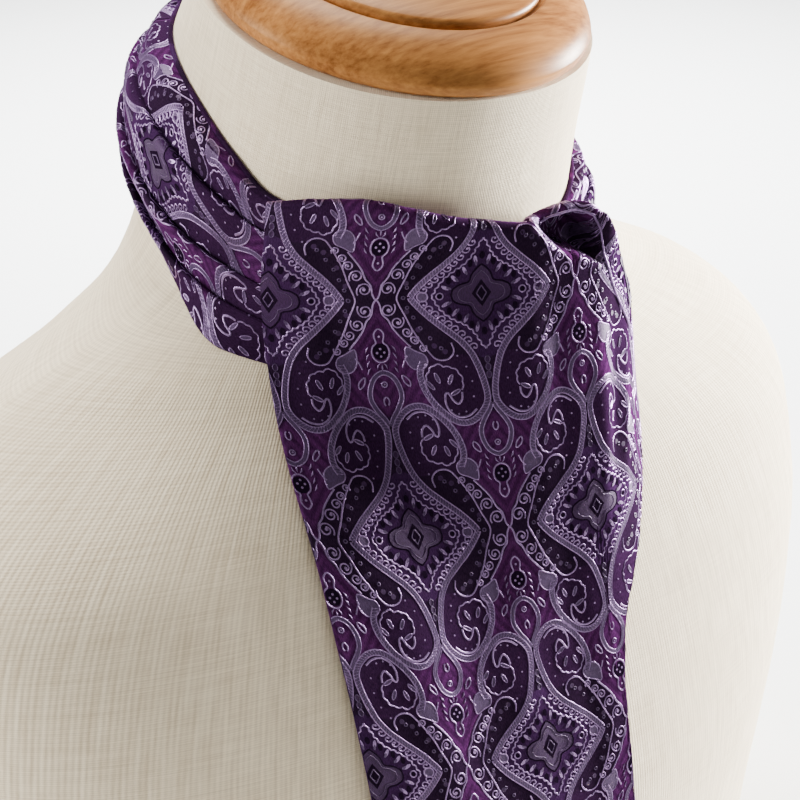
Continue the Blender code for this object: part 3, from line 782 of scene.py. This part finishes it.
silk, silk_nodes, silk_map, silk_dye = woven_finish(
    "silk_ground", GROUND, 0.6, 0.0, GROUND_RELIEF, Sheen_Weight=0.16, Sheen_Roughness=0.35,
    Sheen_Tint=(0.55, 0.16, 0.62, 1.0))
silk_ways = silk_nodes.add("ShaderNodeSeparateXYZ", {0: silk_map}).outputs[:2]
folded = [silk_nodes.maths("PINGPONG", silk_nodes.maths("DIVIDE", way, MM), repeat)
          for way, repeat in zip(silk_ways, (REPEAT_S, REPEAT_T))]
lower = silk_nodes.maths("GREATER_THAN", folded[1], REPEAT_T / 2)
quarter_s, quarter_t = [silk_nodes.pick(lower, way, silk_nodes.maths("SUBTRACT", repeat, way))
                        for way, repeat in zip(folded, (REPEAT_S, REPEAT_T))]


def past_line(line, value=quarter_s, key=quarter_t, soft=0.5):
    """1 where value lies beyond a line, given in millimetres as (value, key) points."""
    span = REPEAT_T / 2
    bend = silk_nodes.add("ShaderNodeFloatCurve", {"Value": silk_nodes.maths("DIVIDE", key, span)})
    points = bend.mapping.curves[0].points
    for k, (at_value, at_key) in enumerate(line):
        spot = points[k] if k < 2 else points.new(0.0, 0.0)
        spot.location = (at_key / span, at_value / span)
    bend.mapping.update()
    edge = silk_nodes.maths("MULTIPLY", bend.outputs[0], span)
    mask = silk_nodes.maths("DIVIDE", silk_nodes.maths("SUBTRACT", value, edge), soft)
    return silk_nodes.add("ShaderNodeClamp", {"Value": mask}).outputs[0]


from_edge = silk_nodes.maths("ABSOLUTE", silk_nodes.maths("SUBTRACT", quarter_s, REPEAT_S))
from_bud = silk_nodes.maths("ABSOLUTE", silk_nodes.maths("SUBTRACT", quarter_t, BUD_LEVEL))
steps = silk_nodes.maths("MULTIPLY", silk_nodes.total(from_edge, (from_bud, 0.7)), 2 * pi / FIELD_PITCH)
steps = silk_nodes.maths("MULTIPLY_ADD", silk_nodes.maths("SINE", steps), 0.5, 0.5)
mate = past_line(MATE_TOP, quarter_t, quarter_s)
in_chevron = silk_nodes.maths("MULTIPLY", past_line(CHEVRON_START),
                              silk_nodes.outside(past_line(CHEVRON_END)))
dyed = GROUND
for mask, colour in (
        (silk_nodes.maths("MAXIMUM", past_line(PAISLEY_EDGE), mate), PAISLEY_GROUND),
        (silk_nodes.outside(past_line(MEDALLION_EDGE)), INSIDE), (in_chevron, CHEVRON),
        (silk_nodes.maths("MULTIPLY", past_line(FIELD_EDGE), silk_nodes.outside(mate)),
         silk_nodes.pick(steps, FIELD_DARK, FIELD_LIGHT, "RGBA"))):
    dyed = silk_nodes.pick(mask, dyed, colour, "RGBA")
silk_nodes.feed(silk_dye, dyed)

THREADS = dict(         # colour, roughness, gloss and lustre of each thread
    lilac=((0.235, 0.147, 0.285, 1.0), 0.36, 1.0, 0.85),
    slate=((0.052, 0.028, 0.070, 1.0), 0.45, 0.5, 0.2),
    mauve=((0.026, 0.008, 0.036, 1.0), 0.5, 0.3, 0.1),
    dark=((0.0100, 0.0045, 0.0130, 1.0), 0.7, 0.0, 0.0),
)
thread = {tone: woven_finish("thread_" + tone, *finish, THREAD_RELIEF, Metallic=lustre)[0]
          for tone, (*finish, lustre) in THREADS.items()}


def add_figure(name, drape, strips):
    """The woven figure over a stretch of cloth, one piece for each colour of thread."""
    pieces = []
    for tone in thread:
        woven = weave_figure(f"{name}_{tone}", tone, drape, strips)
        pieces.append(show(woven.name, woven, thread[tone], "silk"))
    return pieces


# ---- Neckband ----
# The middle of the cravat, pleated lengthwise into four and wound round the neck. Each pleat's
# folded edge lies outward at its top and covers the edge of the pleat above it.
SILK = 1.2
BAND_MIDDLE = 39.0      # top edge of the neckband below the neck's top, at the sides
BAND_DIP = 28.0         # the top edge is this much lower in front and higher behind
BAND_HEIGHT = 50.0
BAND_CLEAR = 0.5
PLEATS = dict(
    columns=("round", "second", "third", "fourth", "puff", "depth", "drop"),
    rows=(
        (50, 10, 28, 38, 0.4, 0.9, 0), (66, 11, 28, 38, 0.4, 1, 0),
        (80, 12, 31, 41, 3.8, 2.8, -4.5), (100, 12.5, 33, 43, 8, 3.4, -8.5),
        (140, 12, 29, 40, 9.5, 3.2, -9), (180, 10.5, 25, 37, 6, 3, -6),
        (220, 12.5, 26.5, 37.5, 5, 3, 0), (260, 11, 24, 37, 6, 3, 5),
        (290, 11, 26, 38, 9.5, 3, 6), (305, 9, 24, 37, 9.5, 2.2, 4),
        (316, 9, 24, 37, 6.5, 1.5, 4), (326, 12, 25, 36, 0.4, 0.9, 5),
        (350, 12, 25, 36, 0, 0.5, 6),
    ),
)
# A pleat's section: share of its height, millimetres lower still, share of its depth.
PLEAT_SECTION = ((0, 1.1, 0.08), (0, 0.5, 0.34), (0, 0, 0.66), (0.02, 0, 0.88), (0.07, 0, 1),
                 (0.14, 0, 1), (0.25, 0, 0.87), (0.38, 0, 0.70), (0.5, 0, 0.55), (0.62, 0, 0.40),
                 (0.74, 0, 0.27), (0.85, 0, 0.16), (0.94, 0, 0.09), (1, 0.4, 0.05))
PLEAT_SHIFT = (6, 24, 58, 84)   # where each pleat's fold lies across the pattern
TOP_SECTION = (0, 0, 0.15)  # where the top pleat's section starts
PUFF_ROUND = 0.6
TOP_SHARE = 0.05        # the part of the top pleat that is flattened, and how deep it stays
TOP_DEPTH = 0.05
PLEAT_SPARE = 6.0       # pattern laid past a pleat's edges before it is cut
SHELL = 0.7             # thickness of the silk as it shows at an edge
FINE = 0.5              # step of the tables that the figure is laid by
BAND_FIRST = 20.0       # where the band starts along the pattern
BAND_STEP = 1.3
PIPE_ROUND = 11
HEM_RADIUS = 0.85       # the rolled hem along the neckband's top edge
HEM_OUT = 1.05
HEM_RISE = 0.2
HEM_PATTERN = 11.0
HEM_THREAD = (0.8, 0.2, 0.2)
SEAM_PITCH = 2.3        # the stitches under the hem
SEAM_MARGIN = 1.5
SEAM_BELOW = 1.9
SEAM_OUT = 0.55
SEAM_RISE = 0.0007
BANDS = (("neckband_right", 56, 139.9), ("neckband_back", 140.1, 219.9), ("neckband_left", 220.1, 346))


def pleat_folds(turn):
    """How far below the band's top edge each pleat starts, and the last one ends."""
    inner = [read(PLEATS, c, turn) for c in ("second", "third", "fourth")]
    return [np.zeros_like(turn), *inner, np.full_like(turn, BAND_HEIGHT)]


def band_surface(turn, down, lift):
    """Points of the band's face, down from its top edge, with the pleat's share of lift."""
    below = BAND_MIDDLE + BAND_DIP * np.cos(np.radians(turn)) + down + read(PLEATS, "drop", turn)
    puff = read(PLEATS, "puff", turn) * np.sin(pi * np.clip(down / BAND_HEIGHT, 0.0, 1.0)) ** PUFF_ROUND
    depth = read(PLEATS, "depth", turn)
    return on_form(-np.radians(turn), below, BAND_CLEAR + SILK + puff + depth * lift)


def piped(name, centres, radius, pattern):
    """A silk-covered roll along these places in millimetres, with the weave's map round it."""
    ahead = heading(centres)
    out = np.cross(ahead, (0.0, 0.0, 1.0))
    out /= np.linalg.norm(out, axis=1)[:, None]
    up = np.cross(out, ahead)
    turn = np.linspace(0.0, 2 * pi, PIPE_ROUND)[:, None, None]
    around = centres + radius * (np.cos(turn) * out + np.sin(turn) * up)
    return laid_grid(name, place(around), together(pattern + turn[..., 0] * radius, run_of(centres)) * MM)


def stitched(name, places, ahead, size):
    """Small stitches of thread at these places in metres, lying along ahead."""
    shape = bmesh.new()
    for spot, way in zip(places, ahead):
        turned = Vector(way).to_track_quat("X", "Z").to_matrix().to_4x4()
        put = Matrix.Translation(spot) @ turned @ Matrix.Diagonal((*[MM * v for v in size], 1.0))
        bmesh.ops.create_icosphere(shape, subdivisions=1, radius=1.0, matrix=put)
    return mesh_of(name, shape)


def silk_shell(piece, thickness=SHELL):
    """Gives a silk sheet its thickness, towards the form."""
    wall = piece.modifiers.new("Silk", "SOLIDIFY")
    wall.thickness = thickness * MM
    wall.offset = -1.0


def even_tables(at, runs, lines):
    """Each line's points read at these distances along it, as tables[line, distance, axis]."""
    tables = [[np.interp(at, run, line[:, axis]) for axis in range(3)] for run, line in zip(runs, lines)]
    return np.array(tables).swapaxes(1, 2)


def build_band(name, start, end, first):
    """One stretch of the pleated neckband with its woven figure; returns where the next starts."""
    probe = np.linspace(start, end, 400)
    run = run_of(band_surface(probe, np.full_like(probe, BAND_HEIGHT / 2), 0.5))
    last = first + run[-1]
    columns = np.linspace(first, last, int(run[-1] / BAND_STEP))
    turn = np.interp(columns - first, run, probe)
    folds = pleat_folds(turn)
    rows, starts = [], [0]
    for pleat in range(len(PLEAT_SHIFT)):
        section = (TOP_SECTION, *PLEAT_SECTION[2:]) if pleat == 0 else PLEAT_SECTION
        for share, lower_by, lift in section:
            if pleat == len(PLEAT_SHIFT) - 1 and share == 1.0:
                lower_by = 0.0
            if pleat == 0 and share < TOP_SHARE:
                lift *= TOP_DEPTH
            down = folds[pleat] + share * (folds[pleat + 1] - folds[pleat]) + lower_by
            rows.append(band_surface(turn, down, lift))
        starts.append(len(rows))
    points = np.array(rows)
    path = run_of(points)
    table = even_tables(np.arange(0.0, path.max() + 1.0, FINE), path.T, points.swapaxes(0, 1))
    at = np.clip((np.arange(first, last, FINE) - first) / (columns[1] - columns[0]), 0, len(turn) - 1.001)
    left = at.astype(int)
    weight = (at - left)[:, None, None]
    dense = table[left] * (1 - weight) + table[left + 1] * weight
    drape = Drape(0.0, first, FINE, place(dense.swapaxes(0, 1)))
    pattern, strips = [], []
    for pleat, shift in enumerate(PLEAT_SHIFT):
        low, high = path[starts[pleat]], path[starts[pleat + 1] - 1]
        strips.append(dict(
            shift=shift - low.mean(),
            span_s=(shift - PLEAT_SPARE, shift + (high - low).max() + PLEAT_SPARE),
            span_t=(first, last),
            edge_t=lambda s: (first, last),
            edge_s=lambda t, low=low, high=high: (np.interp(t, columns, low), np.interp(t, columns, high)),
        ))
        pattern.append(path[starts[pleat]:starts[pleat + 1]] + shift - low.mean())
    mesh = laid_grid(name + "_silk", place(points), together(np.vstack(pattern), columns) * MM)
    piece = show(name + "_silk", mesh, silk, "silk", name)
    silk_shell(piece)
    threads = add_figure(name, drape, strips)
    top = band_surface(turn, np.full_like(turn, -HEM_RISE), 0.0)
    hem = piped(name + "_hem", on_form(-np.radians(turn), top[:, 2], HEM_OUT), HEM_RADIUS, HEM_PATTERN)
    threads.append(show(name + "_hem", hem, silk, "silk"))
    seam = np.arange(SEAM_MARGIN, run[-1] - SEAM_MARGIN, SEAM_PITCH)
    seam_below = np.interp(seam, columns - first, top[:, 2]) + SEAM_BELOW
    seam_out = BAND_CLEAR + SILK + SEAM_OUT
    spots = place(on_form(-np.radians(np.interp(seam, run, probe)), seam_below, seam_out))
    ways = np.gradient(spots, axis=0) + np.array((0.0, 0.0, SEAM_RISE))
    stitches = stitched(name + "_stitches", spots, ways, HEM_THREAD)
    threads.append(show(name + "_stitches", stitches, thread["lilac"], "silk"))
    return last


band_place = BAND_FIRST
for band in BANDS:
    band_place = build_band(*band, band_place)

# ---- Crossing ----
# Under the blade the cravat's two ends cross over each other at the throat. The stretch lies
# flat on the linen and hardly shows.
CROSS_TOP = 76.0
CROSS_HEIGHT = 34.0
CROSS_TURNS = (-48, 10)
CROSS_GRID = (60, 26)
CROSS_REACH = 75.0      # how far its pattern lies from the form's middle line
cross_turn = np.radians(np.linspace(*CROSS_TURNS, CROSS_GRID[0]))
cross_down = np.linspace(CROSS_TOP, CROSS_TOP + CROSS_HEIGHT, CROSS_GRID[1])[:, None]
cross_points = place(on_form(cross_turn, cross_down, BAND_CLEAR + SILK))
cross_weave = together(cross_down, cross_turn * CROSS_REACH) * MM
cross_mesh = laid_grid("crossing_silk", cross_points[:, ::-1], cross_weave)
crossing_silk = show("crossing_silk", cross_mesh, silk, "silk", "crossing")
silk_shell(crossing_silk)

# ---- Second and front blade ----
# The cravat's two wide ends. The front one comes up behind, turns over a soft roll at the
# throat and falls over the second to a blunt point; an arch and a hollow lie beside its roll.
BLADE_HALF = 75.0
BLADE_LEFT = -72.5
BLADE_RIGHT = 77.5
BLADE_SPAN = (-100, 140)    # reach of its level sections across the cloth, and their step
SLICE_STEP = 0.5
BLADE_LEVELS = (40, 331)
BLADE_TIP = 325.0
BLADE_POINT = 62.0
ARCH_SET = 8.0
HOLLOW_DEPTH = 9.0
EDGE_LIFT = 2.2
EDGE_FROM = 50.0
EDGE_RUN = 16.0
EDGE_ENDS = 100.0
EDGE_FADE = 30.0
HOLLOW_SUNK = 3.4
LIP_ROUND = 4.0
RIM_ROUND = 2.4
CLEAR_ROUND = 2.0
POINT_ROUND = 0.06
UNDER_LEFT = -66.0
UNDER_RIGHT = 29.0
UNDER_POINT = 40.0
UNDER_TOP = 98.0
UNDER_TIP = 298.0
UNDER_SET = 3.5
PATTERN_LEVEL = 82.0    # depth of a medallion's middle on the front blade
BLADE = dict(
    columns=("below", "side", "forward", "left", "half_left", "mid", "half_right", "right"),
    rows=(
        (40, -14, 57, -84, -56, -29, -8, 26), (58, -14, 58.5, -82, -55, -28, -6, 30),
        (82, -15, 60, -78, -53, -27, -3, 38), (106, -15, 64, -74, -49, -26, -2, 42),
        (130, -15, 69, -46, -38, -24, -1, 43), (165, -15, 76.5, -18, -22, -20, 0, 42),
        (200, -14, 84.5, -10, -14, -15, 1, 36), (250, -12, 98, -6, -8, -9, 1, 24),
        (325, -9, 110, -4, -4, -4, 2, 14),
    ),
)
BLADE_STATIONS = (-BLADE_HALF, -BLADE_HALF / 2, 0, BLADE_HALF / 2, BLADE_HALF)
CLEAR = dict(
    columns=("below", "front_blade", "under_blade"),
    rows=((40, 7.6, 4), (90, 7.6, 4), (112, 6.8, 3.8), (140, 4.4, 1.8), (330, 4.4, 1.8)),
)
FOLD = dict(
    columns=("across", "below", "radius", "behind"),
    rows=(
        (-75, 50, 2, 0.6), (-60, 48, 2.4, 3), (-42, 47.5, 3, 9), (-25, 51, 3, 9),
        (-10, 55.5, 3, 9), (5, 59, 3, 8), (18, 61, 2.8, 4), (27, 60, 2.4, 1),
        (38, 59, 2.2, 0.6), (45, 60, 2.2, 0.6), (50, 62.8, 2.2, 0.6), (54, 67.3, 2.2, 0.6),
        (58, 73.5, 2.2, 0.6), (62, 80.5, 2.2, 0.6), (66, 87, 2.2, 1.5), (72, 93.5, 2.2, 3),
        (78, 98.5, 2.2, 4),
    ),
)
UNDERFOLD = dict(
    columns=("across", "below"),
    rows=((33, 330), (34.5, 275), (36, 240), (39, 221), (42, 209), (51, 192), (58, 181), (68, 165),
          (78, 148)),
)
HOLLOW = dict(
    columns=("across", "upper", "lip", "set_back", "hollow"),
    rows=(
        (12, 63.5, 61.5, 0, 0), (20, 63.5, 64.5, 0.5, 0), (26, 63, 69, 1, 0.6),
        (31, 62.6, 72.5, 1, 1), (36, 62.4, 74, 1, 1), (40, 62.6, 75.5, 1, 1),
        (44, 63.8, 77.5, 0.85, 1), (46.2, 66.5, 79, 0.6, 1), (48.4, 73, 80.5, 0.28, 0.5),
        (50.5, 79, 81.5, 0.1, 0),
        (57, 82, 84, 0, 0), (60, 88, 88, 0, 0), (72, 96, 96, 0, 0),
    ),
)
LEVEL_STEP = 1.0
RIM_RADIUS = 0.45
RIM_LIFT = 0.25
RIM_POINTS = 110
RIM_PATTERN = 33.0
RIM = (         # the piped hem along the arch's inner rim, as places across and depths
    (24, 64.5), (28, 62.8), (33, 61.9), (38, 61.7), (42, 62.1), (45.2, 63.4), (47.8, 66.6),
    (49.6, 72.5), (50.6, 79.5), (52, 85), (55, 91.5), (59, 98), (63, 104.5), (67, 112),
)
CREASES = (     # across at its start and drift, first and last place along, half width, height
    (22, -13, -22, 62, 6, 1.1), (30, -9, -12, 80, 5, -1),
    (47, -8, 0, 110, 4.5, 1.3), (56, -14, 8, 96, 3.5, -0.9),
    (64, -12, 14, 84, 2.6, 0.8), (-62, 9, -28, 120, 7, 1),
    (-52, 14, -26, 90, 6, -0.8), (-30, 6, -30, 170, 10, -1),
    (-8, -8, -26, 44, 7, 0.9), (2, -9, 50, 220, 9, 1.2),
    (-48, 16, 90, 230, 8, 1), (24, -8, 60, 200, 6, -1),
)
CREASE_SWAY = 0.25      # how far a crease wanders, as a share of its width, and how often
CREASE_WAVE = 17.0
CREASE_SWELL = 0.8
BEHIND_ROWS = 8
ROLL_ROWS = 20
FALL_ROWS = 420
FALL = BEHIND_ROWS + ROLL_ROWS  # the first row that hangs free of the roll


def push_clear(side, forward, below, gap):
    """Moves points out from the form's middle line to at least gap off its surface, softly."""
    middle = read(FORM, "middle", below)
    ahead = forward + middle
    least = form_reach(side, ahead, below) + gap
    far = np.hypot(side, ahead)
    want = (far + least + np.hypot(far - least, CLEAR_ROUND)) / 2
    return side * want / far, ahead * want / far - middle


def ease(share):
    """0 up to 0 and 1 from 1, with a soft step between."""
    share = np.clip(share, 0.0, 1.0)
    return share * share * (3 - 2 * share)


def blade_slice(below, clear, inward=0.0):
    """The blade's level section: places across the cloth, side, forward and facing."""
    q = np.arange(*BLADE_SPAN, SLICE_STEP)
    face = [read(BLADE, c, below) for c in ("left", "half_left", "mid", "half_right", "right")]
    facing = np.radians(smooth(BLADE_STATIONS, face, q))
    middle = int(np.argmin(np.abs(q)))
    side = np.cumsum(np.cos(facing)) * SLICE_STEP
    forward = -np.cumsum(np.sin(facing)) * SLICE_STEP
    side += read(BLADE, "side", below) - side[middle]
    forward += read(BLADE, "forward", below) - forward[middle]
    side, forward = side - inward * np.sin(facing), forward - inward * np.cos(facing)
    gap = read(CLEAR, clear, below)
    gap += EDGE_LIFT * ease((-q - EDGE_FROM) / EDGE_RUN) * ease((EDGE_ENDS - below) / EDGE_FADE)
    run = run_of(together(*push_clear(side, forward, below, gap)))
    run -= run[middle]
    lip, upper = read(HOLLOW, "lip", q), read(HOLLOW, "upper", q)
    above_lip = ease((lip - below + 1.0) / LIP_ROUND)
    pressed = read(HOLLOW, "hollow", q) * above_lip
    out = -ARCH_SET * read(HOLLOW, "set_back", q) * above_lip
    out -= HOLLOW_DEPTH * pressed * ease((below - upper) / RIM_ROUND)
    side, forward = side + out * np.sin(facing), forward + out * np.cos(facing)
    side, forward = push_clear(side, forward, below, gap - HOLLOW_SUNK * pressed)
    facing = np.arctan2(-np.gradient(forward), np.gradient(side))
    return run, side, forward, facing


def tip_line(across, left, right, tip, point):
    """Lower edge, between a left and a right side, of a blade that ends in a blunt point."""
    share = (2 * across - left - right) / (right - left)
    return tip - point * (np.hypot(share, POINT_ROUND) - POINT_ROUND)


def level_tables(across, clear, inward):
    """Side, forward and facing of a blade's cloth at each depth and each place across."""
    depths = np.arange(*BLADE_LEVELS, LEVEL_STEP)
    rows = []
    for below in depths:
        run, *values = blade_slice(below, clear, inward)
        rows.append([np.interp(across, run, value) for value in values])
    return depths, np.array(rows)


def at_depth(depths, tables, below):
    """Reads the level tables at one depth for each place across."""
    at = np.clip((below - depths[0]) / LEVEL_STEP, 0, len(depths) - 1.001)
    row = at.astype(int)
    share = (at - row)[:, None]
    column = np.arange(tables.shape[2])
    return tables[row, :, column] * (1 - share) + tables[row + 1, :, column] * share


def hung(depths, tables, top, end, rows):
    """Rows of points down a blade's cloth, from a top line to an end line."""
    levels = [top + (end - top) * share for share in np.linspace(0.0, 1.0, rows)]
    return [together(*at_depth(depths, tables, below).T[:2], below) for below in levels]


def soften(points, times):
    """Evens out a table of points along both ways, leaving its edges where they are."""
    for _ in range(times):
        points[1:-1] = (points[:-2] + 2 * points[1:-1] + points[2:]) / 4
        points[:, 1:-1] = (points[:, :-2] + 2 * points[:, 1:-1] + points[:, 2:]) / 4
    return points


across = np.arange(BLADE_LEFT, BLADE_RIGHT + 0.01, FINE)
depths, tables = level_tables(across, "front_blade", 0.0)
fold_below, fold_radius, fold_behind = [read(FOLD, c, across) for c in ("below", "radius", "behind")]
roll_centre = fold_below + fold_radius
blade_end = tip_line(across, BLADE_LEFT, BLADE_RIGHT, BLADE_TIP, BLADE_POINT)
blade_end = np.minimum(blade_end, read(UNDERFOLD, "below", across))
roll_side, roll_forward, roll_facing = at_depth(depths, tables, roll_centre).T
path = []
for turn, behind in [(pi, share) for share in np.linspace(1.0, 0.1, BEHIND_ROWS)] + \
        [(turn, 0.0) for turn in np.linspace(pi, 0.1, ROLL_ROWS)]:
    inward = fold_radius * (1 - cos(turn))
    below = roll_centre + behind * fold_behind - fold_radius * sin(turn)
    path.append(together(roll_side - inward * np.sin(roll_facing),
                         roll_forward - inward * np.cos(roll_facing), below))
path = np.array(path + hung(depths, tables, roll_centre, blade_end, FALL_ROWS))
run = run_of(path).T
path = path.swapaxes(0, 1)
for k in range(len(across)):
    run[k] -= np.interp(PATTERN_LEVEL, path[k, FALL:, 2], run[k, FALL:])
blade_first, blade_last = run[:, 0], run[:, -1]
fine_t = np.arange(run.min() - 1, run.max() + 1, FINE)
front = Drape(BLADE_LEFT, fine_t[0], FINE, place(soften(even_tables(fine_t, run, path), 4)))
for start_s, drift, first_t, last_t, wide, high in CREASES:
    reach = np.clip((fine_t - first_t) / (last_t - first_t), 0.0, 1.0)
    middle = start_s + drift * reach + CREASE_SWAY * wide * np.sin(fine_t / CREASE_WAVE + start_s)
    swell = np.sin(pi * reach) ** CREASE_SWELL * high
    front.points += front.normal * (MM * swell * np.exp(-((across[:, None] - middle) / wide) ** 2))[..., None]
front = Drape(BLADE_LEFT, fine_t[0], FINE, front.points)
blade_columns = np.linspace(BLADE_LEFT, BLADE_RIGHT, 121)[:, None]
share = np.concatenate((np.linspace(0, 0.1, 36, endpoint=False), np.linspace(0.1, 1, 176)))
first, last = [np.interp(blade_columns, across, ends) for ends in (blade_first, blade_last)]
blade_t = first + (last - first) * share
blade_s = np.broadcast_to(blade_columns, blade_t.shape)
front_mesh = laid_grid("front_blade_silk", front.at(blade_s, blade_t), together(blade_s, blade_t) * MM)
front_silk = show("front_blade_silk", front_mesh, silk, "silk", "blade_front")
silk_shell(front_silk)
front_strip = dict(
    shift=0.0, span_s=(BLADE_LEFT, BLADE_RIGHT), span_t=(run.min(), run.max()),
    edge_s=lambda t: (BLADE_LEFT, BLADE_RIGHT),
    edge_t=lambda s: (np.interp(s, across, blade_first), np.interp(s, across, blade_last)),
)
front_threads = add_figure("front_blade", front, [front_strip])
rim_s, rim_below = np.array(RIM).T
rim_run = run_of(np.array(RIM))
rim_along = np.linspace(0.0, rim_run[-1], RIM_POINTS)
rim_s, rim_below = smooth(rim_run, rim_s, rim_along), smooth(rim_run, rim_below, rim_along)
rim_t = np.zeros_like(rim_s)
for m, (column_at, level) in enumerate(zip((rim_s - BLADE_LEFT) / FINE, rim_below)):
    k = int(column_at)
    near, far = [np.interp(level, path[c, FALL:, 2], run[c, FALL:]) for c in (k, k + 1)]
    rim_t[m] = near + (far - near) * (column_at - k)
rim_x, rim_y, rim_z = front.at(rim_s, rim_t, RIM_LIFT).T / MM
rim = piped("rim_hem", together(rim_x, -rim_y - CAP_AHEAD, CAP_LEVEL - rim_z), RIM_RADIUS, RIM_PATTERN)
front_threads.append(show("rim_hem", rim, thread["lilac"], "silk"))

across = np.linspace(UNDER_LEFT, UNDER_RIGHT, 91)
depths, tables = level_tables(across, "under_blade", UNDER_SET)
under_end = tip_line(across, UNDER_LEFT, UNDER_RIGHT, UNDER_TIP, UNDER_POINT)
under = np.array(hung(depths, tables, UNDER_TOP, under_end, 120)).swapaxes(0, 1)
under_weave = together(across[:, None], under[..., 2]) * MM
under_mesh = laid_grid("second_blade_silk", place(under), under_weave)
second_silk = show("second_blade_silk", under_mesh, silk, "silk", "blade_under")
silk_shell(second_silk)
